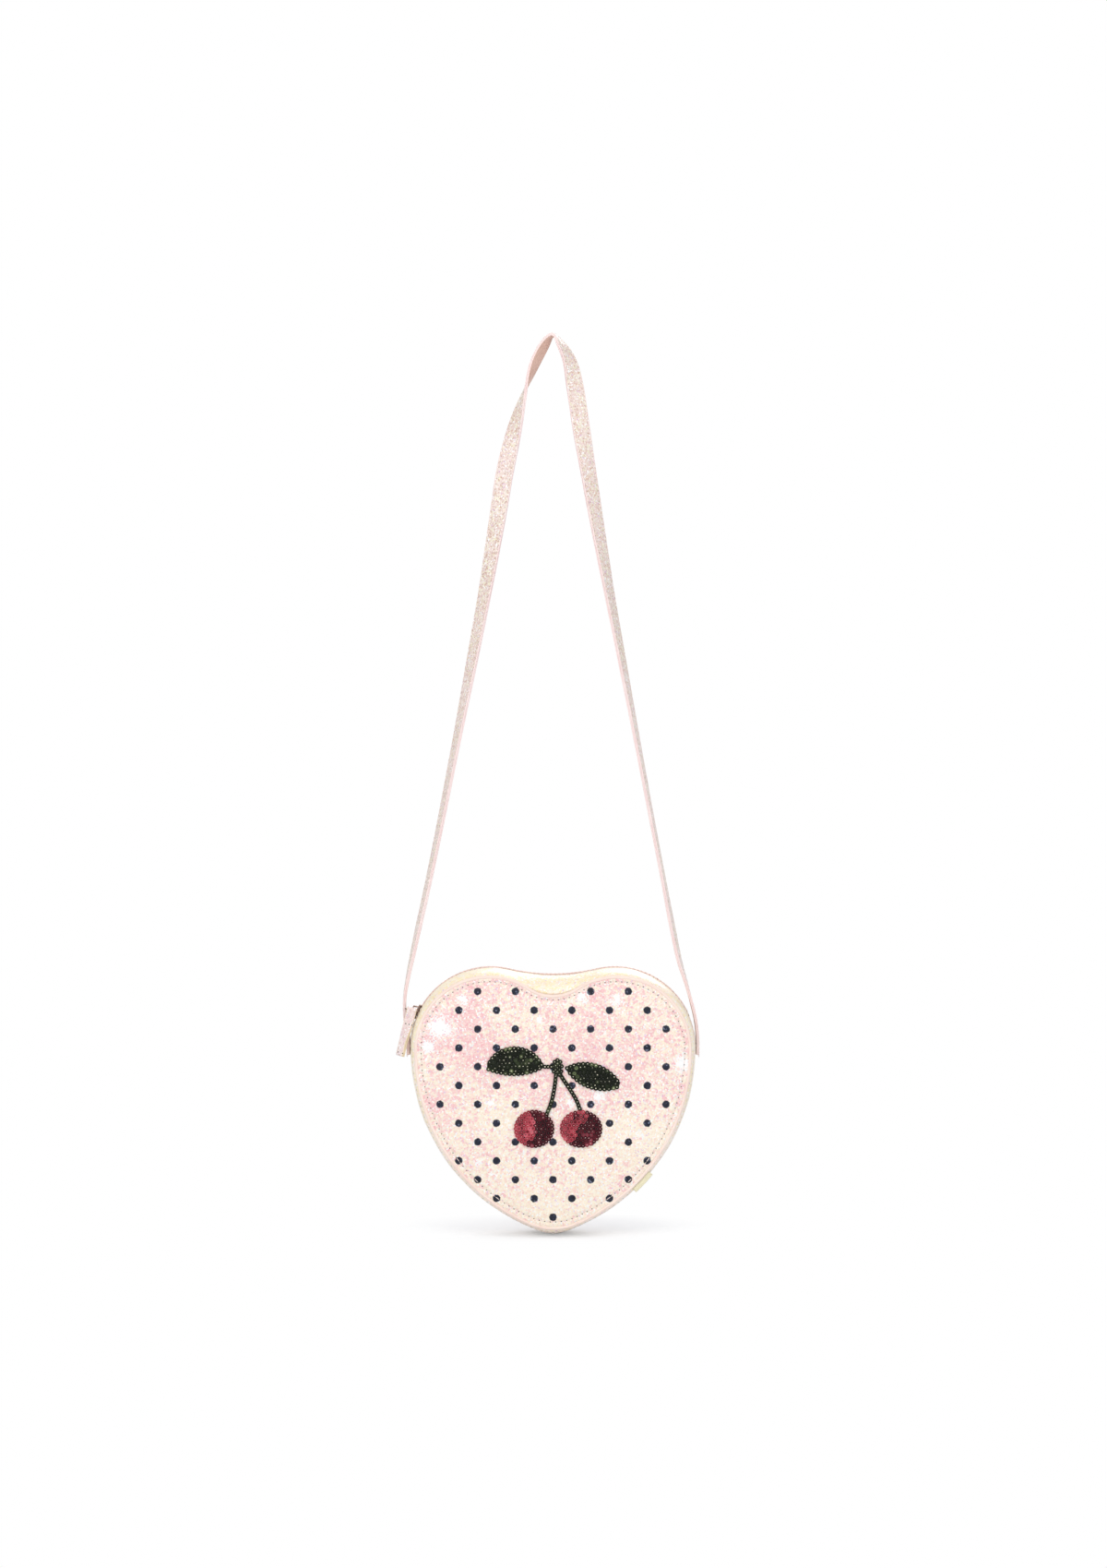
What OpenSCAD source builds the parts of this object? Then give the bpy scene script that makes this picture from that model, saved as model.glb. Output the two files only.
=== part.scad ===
/* [Heart crest] */
// Distance of each lobe's centre from the middle line, on the widest line of the bag
lobe_x = 37; // [32:0.5:42]
// Height of the lobe centres above the tip of the heart
lobe_z = 110; // [100:1:120]
// Radius of the crest round each lobe
lobe_r = 48.2; // [44:0.2:52]
// Radius of the long side curves
side_r = 115; // [105:1:125]
// Radius of the rounded tip
tip_r = 20; // [14:1:26]
// Radius of the shallow crest that bridges the notch
notch_r = 115; // [80:1:150]
// Depth of the bag from front to back
depth = 45; // [36:1:60]

/* [Panels] */
// How far the crest stands out beyond the panel edge over the lobes
lobe_bulge = 3.9; // [2:0.1:6]
// How far the crest stands out beyond the panel edge at the widest line
side_bulge = 2.9; // [1:0.1:5]
// Difference between the side radius of the crest and of the panels
side_ease = 2.3; // [0:0.1:5]
// Tip radius of the panels
panel_tip_r = 36; // [26:1:46]
// Radius in the V of the panels
panel_notch_r = 25; // [15:1:40]
// Width of the smooth binding that frames each panel
binding_w = 1.9; // [1.6:0.1:5]
// Thickness of the binding, front to back
binding_t = 2.6; // [2.4:0.1:4]
// Edge rounding of the binding
binding_round = 0.6; // [0.3:0.1:1]
// How far the front panel lies below the face of its binding
panel_drop = 0.3; // [0:0.1:0.6]

/* [Sheet materials] */
// Thickness of the glitter leatherette
skin_t = 1.2; // [0.8:0.1:1.6]
// Thickness of the lining cloth
lining_t = 0.5; // [0.3:0.1:1]
// Gap left between sheets that lie on each other
layer_gap = 0.1; // [0.05:0.05:0.2]

/* [Zip] */
// Width of the gap between the two zip bands
zip_slot = 7.2; // [6.6:0.1:9]
// Width of each zip tape
tape_w = 8.3; // [6:0.1:12]
// Thickness of the zip tape
tape_t = 0.6; // [0.4:0.1:0.8]
// Gap between the two tapes
tape_gap = 1.4; // [1.2:0.1:2]
// Distance from one tooth to the next of the same row
tooth_pitch = 2.5; // [2:0.1:3]
// Width of a tooth's neck
tooth_neck = 0.9; // [0.6:0.05:1]
// Play between a tooth and its neighbours in the other row
tooth_play = 0.12; // [0.08:0.01:0.2]
// Reach of a tooth's head past the middle of the chain
tooth_reach = 0.75; // [0.5:0.05:1]
// Width of the joined chain
chain_w = 5.2; // [4.4:0.1:6]
// Height of the teeth above the crest
tooth_rise = 0.5; // [0.3:0.1:1]
// Angle of the parked slider from the vertical, seen from the lobe's centre
park = 64; // [55:1:68]
// Length of each end patch that closes the slit past the zip
end_patch_l = 11; // [6:0.5:12]

/* [Slider and pull] */
// Length of the slider
slider_l = 9.2; // [8:0.1:11]
// Width of the slider's shoulders
slider_w = 7.8; // [7:0.1:9]
// Width of the slider's tail
slider_tail_w = 6.8; // [6.5:0.1:7]
// Thickness of the slider's plates
plate_t = 1.2; // [0.8:0.1:1.5]
// Clearance between the slider and what runs through it
slider_play = 0.2; // [0.1:0.05:0.3]
// Width of the wedge that parts the rows
wedge_w = 1; // [0.6:0.1:1]
// Length of that wedge
wedge_l = 1.6; // [1:0.1:2.5]
// Height of the bail's opening above the plate
bail_h = 2; // [1.6:0.1:2.6]
// Thickness of the bail's bar
bail_t = 0.8; // [0.6:0.1:1.2]
// Width of the bail's bar
bail_w = 1.4; // [1:0.1:1.6]
// Diameter of the pull ring's wire
wire_d = 1; // [0.8:0.1:1.2]
// Reach of the pull ring from the bail to the far bar
ring_l = 9.6; // [9:0.1:11]
// Width of the leather tab
tab_w = 5.8; // [5:0.1:6.4]
// Length of the leather tab
tab_l = 28; // [20:0.5:32]
// Thickness of the tab's leather
tab_t = 1.1; // [0.8:0.1:1.3]
// Lean of the hanging tab from the vertical
tab_lean = 13; // [9:1:16]

/* [Strap] */
// Width of the shoulder strap
strap_w = 10.5; // [8:0.5:12]
// Thickness of the strap's glitter face
strap_face_t = 0.9; // [0.6:0.1:1.2]
// Thickness of the strap's smooth backing
strap_back_t = 0.9; // [0.6:0.1:1.2]
// Height of the crown above the line through the sewn ends
strap_rise = 424; // [380:1:460]
// Clearance between the strap and the sides of the bag
strap_play = 0.3; // [0.2:0.05:0.5]
// Height of the line on which the bag swings, above the lobe centres
swing_h = 2; // [0:0.5:4]

/* [Cherry motif] */
// Thickness of the sequin motif
motif_t = 0.8; // [0.5:0.1:1.2]
// Radius of the cherries
cherry_r = 11.4; // [9:0.2:13]
// Height of the cherries' centres above the tip
cherry_z = 63.4; // [55:0.5:70]
// Distance of the left cherry from the middle line
left_cherry_x = 11.2; // [8:0.2:14]
// Distance of the right cherry from the middle line
right_cherry_x = 16.6; // [14:0.2:19]
// Length of the leaves
leaf_l = 34.6; // [28:0.2:38]
// Gap between the left leaf and the knot
leaf_gap = 3.5; // [0:0.1:5]
// Height of the joint of leaves and stems above the tip
knot_z = 100; // [94:0.5:106]
// Width of the stems
stem_w = 2.7; // [2:0.1:4]

/* [Side label] */
// Length of the bare folded label in the seam
label_l = 14; // [8:0.5:18]
// Reach of the label out of the seam
label_h = 3.2; // [2:0.1:5]
// Thickness of the folded label
label_t = 1.4; // [0.8:0.1:1.8]

/* [Hidden] */

$fn = 48;

// Stations along half of a heart outline: tip, side, lobe and notch
tip_n = 3;
side_n = 12;
lobe_n = 16;
notch_n = 6;
half_n = tip_n + side_n + lobe_n + notch_n;
seam_k = tip_n + side_n;

// Strips across the gusset, a zip band, its lining and a tape
gusset_n = 8;
band_n = 6;
band_lining_n = 4;
tape_n = 3;

// A heart outline is a list: lobe centre x and z, lobe, side, tip and notch radius
crest = [lobe_x, lobe_z, lobe_r, side_r, tip_r, notch_r];
panel_lobe_r = lobe_r - lobe_bulge;
panel = [lobe_x + lobe_bulge - side_bulge, lobe_z, panel_lobe_r, side_r - side_ease,
    panel_tip_r, panel_notch_r];

half_d = depth / 2;
edge_y = half_d - binding_t;
tape_e = skin_t + layer_gap;
tape_out_y = tape_gap / 2 + tape_w;
swing_z = lobe_z + swing_h;

// Strap route: share of the half span, share of the rise, twist in degrees;
// the left run comes first, from the sewn end up, then the crown and the right run
strap_route_shares = [
    [-1.000, -0.014, 0], [-1.001, 0.009, 0], [-1.024, 0.038, 0], [-1.026, 0.066, 3],
    [-1.006, 0.093, 6], [-0.979, 0.120, 10], [-0.925, 0.171, 14], [-0.869, 0.223, 15],
    [-0.789, 0.302, 17], [-0.664, 0.432, 23], [-0.566, 0.535, 34], [-0.470, 0.639, 44],
    [-0.383, 0.744, 66], [-0.336, 0.804, 80], [-0.278, 0.858, 58], [-0.214, 0.908, 20],
    [-0.141, 0.953, -22], [-0.064, 0.985, -26], [0, 1, 0],
    [0.060, 0.986, 26], [0.118, 0.962, 48], [0.157, 0.922, 76], [0.192, 0.874, 80],
    [0.233, 0.822, 62], [0.297, 0.744, 48], [0.387, 0.640, 30], [0.483, 0.536, 21],
    [0.579, 0.432, 14], [0.699, 0.302, 10], [0.773, 0.223, 10], [0.821, 0.171, 12],
    [0.873, 0.120, 10], [0.912, 0.093, 5], [0.956, 0.061, 0], [0.986, 0.035, 0],
    [1.000, 0.009, 0], [1.000, -0.014, 0]];
strap_steps = 3;
half_span = lobe_x + lobe_r + strap_play + strap_back_t;
crown_z = swing_z + strap_rise - strap_back_t;

// Colours as the eye sees them
glitter_pink = "#f5d5d0";
smooth_pink = "#fbe3dc";
cream = "#f8ecd6";
tan = "#e3bfae";
metal = "#6b5560";
leaf_green = "#1c2114";
cherry_red = "#b0404d";
cherry_dark = "#4c101c";
board_white = "#eeeeea";
ribbon = "#efe2b4";

// Heart outlines

function inset(h, e) = [h[0], h[1], h[2] - e, h[3] - e, h[4] - e, h[5] + e];

function side_x(h) = h[0] + h[2] - h[3];

function tip_z(h) = h[1] - sqrt(pow(h[3] - h[4], 2) - pow(side_x(h), 2));

function notch_z(h) = h[1] + sqrt(pow(h[2] + h[5], 2) - pow(h[0], 2));

function tip_end(h) = atan2(tip_z(h) - h[1], -side_x(h));

function lobe_end(h) = atan2(notch_z(h) - h[1], -h[0]);

function on_arc(x, z, r, a) = [x + r * cos(a), z + r * sin(a)];

function half_point(h, k) =
    k <= tip_n ? on_arc(0, tip_z(h), h[4], -90 + (tip_end(h) + 90) * k / tip_n) :
    k <= seam_k ? on_arc(side_x(h), h[1], h[3], tip_end(h) * (seam_k - k) / side_n) :
    k <= seam_k + lobe_n ? on_arc(h[0], h[1], h[2], lobe_end(h) * (k - seam_k) / lobe_n) :
    on_arc(0, notch_z(h), h[5],
        lobe_end(h) - 180 - (lobe_end(h) - 90) * (k - seam_k - lobe_n) / notch_n);

// Stations run from the tip up the right side to the notch and down the left side
function heart_point(h, k) =
    k <= half_n ? half_point(h, k) :
    [-half_point(h, 2 * half_n - k)[0], half_point(h, 2 * half_n - k)[1]];

function heart_outline(h) = [for (k = [0:2 * half_n - 1]) heart_point(h, k)];

// A point of the gusset, inset by e from its outer face, at depth y
function bulge(y) = sqrt(max(0, 1 - pow(y / edge_y, 2)));

function wall_point(k, e, y) =
    let (a = heart_point(inset(panel, e), k), b = heart_point(inset(crest, e), k),
        s = bulge(y))
    [a[0] + (b[0] - a[0]) * s, y, a[1] + (b[1] - a[1]) * s];

// Solids from rings of points

// Each four-sided patch of a wall is cut on one diagonal or, with other, on the other
module loft(rings, closed = false, other = false) {
    m = len(rings[0]);
    n = len(rings);
    last = closed ? n - 1 : n - 2;
    ladder = m / 2 - 2;
    patches = [for (i = [0:last]) for (j = [0:m - 1])
        [i * m + j, ((i + 1) % n) * m + j, ((i + 1) % n) * m + (j + 1) % m, i * m + (j + 1) % m]];
    walls = [for (p = patches) for (f = other
        ? [[p[0], p[1], p[2]], [p[0], p[2], p[3]]]
        : [[p[0], p[1], p[3]], [p[3], p[1], p[2]]]) f];
    caps = closed ? [] : [for (j = [0:ladder]) for (f = [
        [j, j + 1, m - 1 - j],
        [j + 1, m - 2 - j, m - 1 - j],
        [(n - 1) * m + j, n * m - 1 - j, (n - 1) * m + j + 1],
        [(n - 1) * m + j + 1, n * m - 1 - j, n * m - 2 - j]]) f];
    polyhedron([for (r = rings) for (p = r) p], concat(walls, caps));
}

// A bent sheet of the gusset between stations k0 and k1, insets e0 and e1,
// and depths y0 and y1, where steps is the number of strips across it
module wall_sheet(k0, k1, e0, e1, y0, y1, steps) {
    a0 = acos(max(-1, min(1, -y0 / edge_y)));
    a1 = acos(max(-1, min(1, -y1 / edge_y)));
    ys = [for (j = [0:steps]) -edge_y * cos(a0 + (a1 - a0) * j / steps)];
    loft([for (k = [k0:k1]) concat(
        [for (j = [0:steps]) wall_point(k, e0, ys[j])],
        [for (j = [steps:-1:0]) wall_point(k, e1, ys[j])])]);
}

// A flat heart between two depths
module plate(h, y0, y1) {
    translate([0, y1, 0])
        rotate([90, 0, 0])
            linear_extrude(y1 - y0)
                polygon(heart_outline(h));
}

module backwards() {
    mirror([0, 1, 0])
        children();
}

// Panels, bindings, stiffeners and linings, drawn for the front

module panel_skin(drop) {
    y = -half_d + drop;
    plate(inset(panel, binding_w), y, y + skin_t);
}

module binding_ring() {
    r = binding_round;
    profile = [[binding_w, -edge_y], [binding_w, -half_d + r], [binding_w - r, -half_d],
        [r, -half_d], [0, -half_d + r], [0, -edge_y]];
    loft([for (k = [0:2 * half_n - 1]) [for (p = profile)
        let (q = heart_point(inset(panel, p[0]), k)) [q[0], p[1], q[1]]]], true);
}

module stiffener(drop) {
    plate(inset(panel, binding_w), -half_d + drop + skin_t, -edge_y);
}

module panel_lining() {
    plate(inset(panel, tape_e + lining_t + layer_gap), -edge_y, -edge_y + lining_t);
}

module zip_band() {
    wall_sheet(seam_k, 2 * half_n - seam_k, 0, skin_t, -edge_y, -zip_slot / 2, band_n);
}

module band_lining() {
    wall_sheet(seam_k, 2 * half_n - seam_k, tape_e, tape_e + lining_t,
        -edge_y, -tape_out_y - layer_gap, band_lining_n);
}

module zip_tape() {
    wall_sheet(seam_k, 2 * half_n - seam_k, tape_e, tape_e + tape_t,
        -tape_out_y, -tape_gap / 2, tape_n);
}

// Zip chain: s is the length along the crest from the middle of the notch

notch_half_a = lobe_end(crest) - 90;
notch_half_l = notch_r * notch_half_a * PI / 180;

function lobe_a(s) = (abs(s) - notch_half_l) / lobe_r * 180 / PI - notch_half_a;

function chain_length(a) = notch_half_l + (a + notch_half_a) * lobe_r * PI / 180;

module on_chain(s) {
    side = sign(s);
    a = lobe_a(s);
    b = s / notch_r * 180 / PI;
    if (abs(s) > notch_half_l)
        translate([side * (lobe_x + lobe_r * sin(a)), 0, lobe_z + lobe_r * cos(a)])
            rotate([0, side * a, 0])
                children();
    else
        translate([notch_r * sin(b), 0, notch_z(crest) - notch_r * cos(b)])
            rotate([0, -b, 0])
                children();
}

slider_half_a = slider_l / 2 / lobe_r * 180 / PI;
chain_left = chain_length(park) + slider_l / 2 - wedge_l - 2 * slider_play;
chain_right = chain_length(park);
tooth_head = tooth_pitch - tooth_neck - 2 * tooth_play;
tooth_base = tooth_pitch - 6 * tooth_play;
// Gap between the tape and the foot of a tooth or stop
seat_gap = 0.03;

module tooth() {
    base_y = -tooth_reach - tooth_play;
    half_neck = tooth_neck / 2;
    half_head = tooth_head / 2;
    half_base = tooth_base / 2;
    bevel = half_head - half_neck;
    translate([0, 0, -tape_e + seat_gap])
        linear_extrude(tape_e + tooth_rise - seat_gap)
            polygon([[-half_base, -chain_w / 2], [half_base, -chain_w / 2],
                [half_base, base_y - tooth_play], [half_neck, base_y],
                [half_neck, 0], [half_head, bevel],
                [half_head, tooth_reach - bevel], [half_neck, tooth_reach],
                [-half_neck, tooth_reach], [-half_head, tooth_reach - bevel],
                [-half_head, bevel], [-half_neck, 0],
                [-half_neck, base_y], [-half_base, base_y - tooth_play]]);
}

module tooth_row(shift) {
    first = ceil((-chain_left + tooth_base / 2) / tooth_pitch - shift);
    final = floor((chain_right - tooth_base / 2) / tooth_pitch - shift);
    for (i = [first:final])
        on_chain((i + shift) * tooth_pitch)
            tooth();
}

// Length, width and rise of the stops at both ends of the chain
stop_l = 2;
stop_w = 1.6;
stop_rise = 0.3;
stop_gap = stop_l / 2 + slider_play;

module stop_block(w) {
    translate([-stop_l / 2, -w / 2, -tape_e + seat_gap])
        cube([stop_l, w, tape_e + stop_rise - seat_gap]);
}

module end_patch() {
    a = end_patch_l / lobe_r * 180 / PI;
    intersection() {
        translate([lobe_x, 0, lobe_z])
            lobe_sweep(90 - a, 90)
                translate([lobe_r - skin_t, -zip_slot / 2 + layer_gap])
                    square([skin_t, zip_slot - 2 * layer_gap]);
        translate([0, -half_d, lobe_z])
            cube([lobe_x + lobe_r, depth, lobe_r]);
    }
}

// Sweep of a [radius, y] profile about the Y axis, from angle a0 to a1
// measured from the vertical towards +X
module lobe_sweep(a0, a1) {
    rotate([90, 0, 0])
        rotate([0, 0, 90 - a1])
            rotate_extrude(angle = a1 - a0, $fn = 180)
                children();
}

// Slider, drawn upright over the lobe's centre and then turned to where it parks

top_in = lobe_r + tooth_rise + slider_play;
top_out = top_in + plate_t;
low_out = lobe_r - tape_e - tape_t - slider_play;
bail_z = top_out + bail_h + bail_t / 2;
flange_in = chain_w / 2 + slider_play;
flange_out = zip_slot / 2 - 2 * slider_play;
flange_low = lobe_r - tape_e + slider_play;

module slider_outline() {
    l = slider_l / 2;
    w = slider_w / 2;
    t = slider_tail_w / 2;
    n = w - wedge_l / 2;
    polygon([[-l, -n], [-l + wedge_l, -w], [0, -w], [l, -t],
        [l, t], [0, w], [-l + wedge_l, w], [-l, n]]);
}

module slider_at_top() {
    a = slider_half_a + 1;
    bail_out = slider_l / 2 - plate_t;
    bail_in = bail_out - bail_t;
    arch_out = bail_out - bail_h / 2;
    arch_in = bail_in - bail_h / 2;
    sunk = top_out - plate_t / 2;
    intersection() {
        union() {
            lobe_sweep(-a, a)
                translate([top_in, -slider_w / 2])
                    square([plate_t, slider_w]);
            lobe_sweep(-a, a)
                translate([low_out - plate_t, -slider_w / 2])
                    square([plate_t, slider_w]);
        }
        linear_extrude(2 * lobe_r)
            slider_outline();
    }
    for (y = [flange_in, -flange_out])
        lobe_sweep(-slider_half_a / 2, slider_half_a - slider_play)
            translate([flange_low, y])
                square([sunk - flange_low, flange_out - flange_in]);
    translate([slider_play - slider_l / 2, -wedge_w / 2, low_out - plate_t / 2])
        cube([wedge_l, wedge_w, top_in - low_out + plate_t]);
    translate([0, bail_w / 2, 0])
        rotate([90, 0, 0])
            linear_extrude(bail_w)
                polygon([[-bail_out, sunk], [-arch_out, bail_z + bail_t / 2],
                    [arch_out, bail_z + bail_t / 2], [bail_out, sunk],
                    [bail_in, sunk], [arch_in, bail_z - bail_t / 2],
                    [-arch_in, bail_z - bail_t / 2], [-bail_in, sunk]]);
}

module at_left_lobe(a) {
    translate([-lobe_x, 0, lobe_z])
        rotate([0, a, 0])
            children();
}

// Pull ring: a wire loop round the bail's bar that opens to a straight far bar

loop_r = norm([bail_w, bail_t]) / 2 + wire_d / 2 + slider_play;
corner_share = 0.6;
corner_r = corner_share * wire_d;
far_half = tab_w / 2 + slider_play + corner_r;
wire_sides = 8;

// The legs run straight past the slider's plate and then spread to the far bar
leg_l = slider_w / 2 + wire_d;
tab_bore = wire_d / 2 + slider_play;
tab_loop = tab_bore + tab_t;
shoulder_l = ring_l - tab_loop - slider_play;
ring_route = concat(
    [[far_half, -shoulder_l], [loop_r, -leg_l]],
    [for (a = [0:22.5:180]) [loop_r * cos(a), loop_r * sin(a)]],
    [[-loop_r, -leg_l], [-far_half, -shoulder_l]],
    [for (a = [180:30:270]) [corner_r - far_half, corner_r - ring_l] + corner_r * [cos(a), sin(a)]],
    [for (a = [270:30:360]) [far_half - corner_r, corner_r - ring_l] + corner_r * [cos(a), sin(a)]]);

module ring_wire() {
    n = len(ring_route);
    loft([for (i = [0:n - 1])
        let (d = ring_route[(i + 1) % n] - ring_route[(i + n - 1) % n], out = [d[1], -d[0]] / norm(d))
        [for (j = [0:wire_sides - 1])
            let (a = -360 * j / wire_sides, q = ring_route[i] + out * cos(a) * wire_d / 2)
            [q[0], q[1], sin(a) * wire_d / 2]]], true);
}

module at_pull() {
    translate([-lobe_x - bail_z * sin(park), 0, lobe_z + bail_z * cos(park)])
        rotate([0, tab_lean, 0])
            children();
}

tab_close_share = 3;
tab_close = tab_close_share * tab_loop;

module tab_profile() {
    difference() {
        polygon(concat(
            [for (a = [-15:15:195]) [tab_loop * cos(a), tab_loop * sin(a)]],
            [[-tab_t, -tab_close], [-tab_t, -tab_l], [tab_t, -tab_l], [tab_t, -tab_close]]));
        circle(r = tab_bore);
        polygon([[-tab_bore, 0], [tab_bore, 0], [0, -tab_close + tab_t]]);
    }
}

// Strap: a flat band that follows the route and twists on its way up

function mix(a, b, c, d, t) =
    0.5 * (2 * b + (c - a) * t + (2 * a - 5 * b + 4 * c - d) * t * t
        + (3 * b - a - 3 * c + d) * t * t * t);

route_n = len(strap_route_shares);

function route_row(i) = strap_route_shares[max(0, min(route_n - 1, i))];

strap_centres = [for (i = [0:(route_n - 1) * strap_steps])
    let (k = min(floor(i / strap_steps), route_n - 2), t = i / strap_steps - k,
        p = mix(route_row(k - 1), route_row(k), route_row(k + 1), route_row(k + 2), t))
    [p[0] * half_span, swing_z + p[1] * strap_rise, p[2]]];

function strap_frame(i) =
    let (n = len(strap_centres), a = strap_centres[max(0, i - 1)],
        b = strap_centres[min(n - 1, i + 1)], d = [b[0] - a[0], b[1] - a[1]])
    [-d[1] / norm(d), d[0] / norm(d)];

function strap_point(i, u, v) =
    let (c = strap_centres[i], f = strap_frame(i), a = c[2],
        out = u * sin(a) + v * cos(a))
    [c[0] + out * f[0], u * cos(a) - v * sin(a), c[1] + out * f[1]];

module strap_layer(v0, v1, other) {
    loft([for (i = [0:len(strap_centres) - 1]) [
        strap_point(i, strap_w / 2, v1), strap_point(i, -strap_w / 2, v1),
        strap_point(i, -strap_w / 2, v0), strap_point(i, strap_w / 2, v0)]], false, other);
}

// Cherry motif, drawn flat as [x, z] and laid on the front panel

module on_front(t) {
    translate([0, -half_d + panel_drop, 0])
        rotate([90, 0, 0])
            linear_extrude(t)
                children();
}

function bow_r(l, h) = (l * l / 4 + h * h) / (2 * h);

// A leaf that starts at the origin and runs along +X
module leaf(up, down) {
    intersection() {
        translate([leaf_l / 2, up - bow_r(leaf_l, up)])
            circle(r = bow_r(leaf_l, up), $fn = 120);
        translate([leaf_l / 2, bow_r(leaf_l, down) - down])
            circle(r = bow_r(leaf_l, down), $fn = 120);
    }
}

function bezier(a, b, c, t) = a * (1 - t) * (1 - t) + b * 2 * t * (1 - t) + c * t * t;

function bezier_side(a, b, c, t) =
    let (d = (b - a) * (1 - t) + (c - b) * t) [-d[1], d[0]] / norm(d);

stem_n = 10;
knot_n = 24;

knot = [stem_w, knot_z];
knot_r_share = 1.5;
knot_r = knot_r_share * stem_w;
left_leaf_up_share = 0.36;
left_leaf_down_share = 0.14;
right_leaf_up_share = 0.23;
right_leaf_down_share = 0.21;
leaf_droop = 18;
left_cherry = [-left_cherry_x, cherry_z];
right_cherry = [right_cherry_x, cherry_z];
shade_shift_share = 1.3;
shade_r_share = 1.32;

// Angles of the fork below the knot, and of the stems where they reach the fruits
fork_a = -80;
left_stem_a = 51;
right_stem_a = 95;
stem_half_a = asin(stem_w / 2 / knot_r);

module cherry(at) {
    translate(at)
        circle(r = cherry_r, $fn = 90);
}

// The shaded side is the right-hand part of the fruit, cut by a slack curve
module shade(at) {
    intersection() {
        cherry(at);
        translate([at[0] + shade_shift_share * cherry_r, at[1]])
            circle(r = shade_r_share * cherry_r, $fn = 90);
    }
}

function ray(a) = [cos(a), sin(a)];

// The point where the line from p at angle a meets the line from q at angle b
function meet(p, a, q, b) =
    p + ray(a) * cross(q - p, ray(b)) / cross(ray(a), ray(b));

// One edge of the stem that leaves the knot at angle a and ends on a fruit at angle b
function stem_edge(a, fruit, b, edge, order) =
    let (p0 = knot + knot_r * cos(stem_half_a) * ray(a), p1 = meet(knot, a, fruit, b),
        p2 = fruit + (cherry_r + layer_gap) * ray(b))
    [for (i = order) bezier(p0, p1, p2, i / stem_n)
        + bezier_side(p0, p1, p2, i / stem_n) * edge * stem_w / 2];

module stems_flat() {
    left_a = fork_a - stem_half_a;
    right_a = fork_a + stem_half_a;
    polygon(concat(
        [for (i = [0:knot_n]) knot + knot_r
            * ray(fork_a + 2 * stem_half_a + (360 - 4 * stem_half_a) * i / knot_n)],
        stem_edge(left_a, left_cherry, left_stem_a, -1, [1:stem_n]),
        stem_edge(left_a, left_cherry, left_stem_a, 1, [stem_n:-1:0]),
        stem_edge(right_a, right_cherry, right_stem_a, -1, [1:stem_n]),
        stem_edge(right_a, right_cherry, right_stem_a, 1, [stem_n:-1:1])));
}

// Named sub-parts

module in_frame() {
    translate([0, 0, -crown_z])
        children();
}

module strap_face() { color(glitter_pink) in_frame() strap_layer(0, strap_face_t, false); }
module strap_backing() { color(tan) in_frame() strap_layer(-strap_back_t, 0, true); }
module front_panel() { color(glitter_pink) in_frame() panel_skin(panel_drop); }
module back_panel() { color(glitter_pink) in_frame() backwards() panel_skin(0); }
module front_binding() { color(smooth_pink) in_frame() binding_ring(); }
module back_binding() { color(smooth_pink) in_frame() backwards() binding_ring(); }
module front_stiffener() { color(board_white) in_frame() stiffener(panel_drop); }
module back_stiffener() { color(board_white) in_frame() backwards() stiffener(0); }
module front_lining() { color(cream) in_frame() panel_lining(); }
module back_lining() { color(cream) in_frame() backwards() panel_lining(); }
module front_zip_band() { color(cream) in_frame() zip_band(); }
module back_zip_band() { color(cream) in_frame() backwards() zip_band(); }
module front_band_lining() { color(cream) in_frame() band_lining(); }
module back_band_lining() { color(cream) in_frame() backwards() band_lining(); }
module front_zip_tape() { color(smooth_pink) in_frame() zip_tape(); }
module back_zip_tape() { color(smooth_pink) in_frame() backwards() zip_tape(); }
module front_zip_teeth() { color(smooth_pink) in_frame() tooth_row(0); }
module back_zip_teeth() { color(smooth_pink) in_frame() backwards() tooth_row(1 / 2); }

module bottom_gusset() {
    color(cream)
        in_frame()
            loft([for (k = [-seam_k:seam_k]) concat(
                [for (j = [0:gusset_n]) gusset_point(k, 0, -edge_y * cos(180 * j / gusset_n))],
                [for (j = [gusset_n:-1:0])
                    gusset_point(k, skin_t, -edge_y * cos(180 * j / gusset_n))])]);
}

module gusset_lining() {
    color(cream)
        in_frame()
            loft([for (k = [-seam_k:seam_k]) concat(
                [for (j = [0:gusset_n])
                    gusset_point(k, tape_e, -edge_y * cos(180 * j / gusset_n))],
                [for (j = [gusset_n:-1:0])
                    gusset_point(k, tape_e + lining_t, -edge_y * cos(180 * j / gusset_n))])]);
}

function gusset_point(k, e, y) =
    let (p = wall_point(abs(k), e, y)) [k < 0 ? -p[0] : p[0], p[1], p[2]];

module zip_top_stops() {
    s = -chain_length(park) - slider_l / 2 - stop_gap - stop_l / 2;
    color(metal)
        in_frame()
            for (side = [-1, 1])
                translate([0, side * (tape_gap / 2 + stop_w / 2), 0])
                    on_chain(s)
                        stop_block(stop_w);
}

module zip_bottom_stop() {
    color(metal)
        in_frame()
            on_chain(chain_right + slider_play + stop_l / 2)
                stop_block(chain_w);
}

module zip_end_patches() {
    color(cream)
        in_frame() {
            end_patch();
            mirror([1, 0, 0])
                end_patch();
        }
}

module slider_body() {
    color(metal)
        in_frame()
            at_left_lobe(-park)
                slider_at_top();
}

module pull_ring() {
    color(metal)
        in_frame()
            at_pull()
                ring_wire();
}

module pull_tab() {
    color(glitter_pink)
        in_frame()
            at_pull()
                translate([-tab_w / 2, -ring_l, 0])
                    rotate([90, 0, 90])
                        linear_extrude(tab_w)
                            tab_profile();
}

// Angle of the label's middle from the vertical, seen from the centre of the side curve
label_a = 133;

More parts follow.
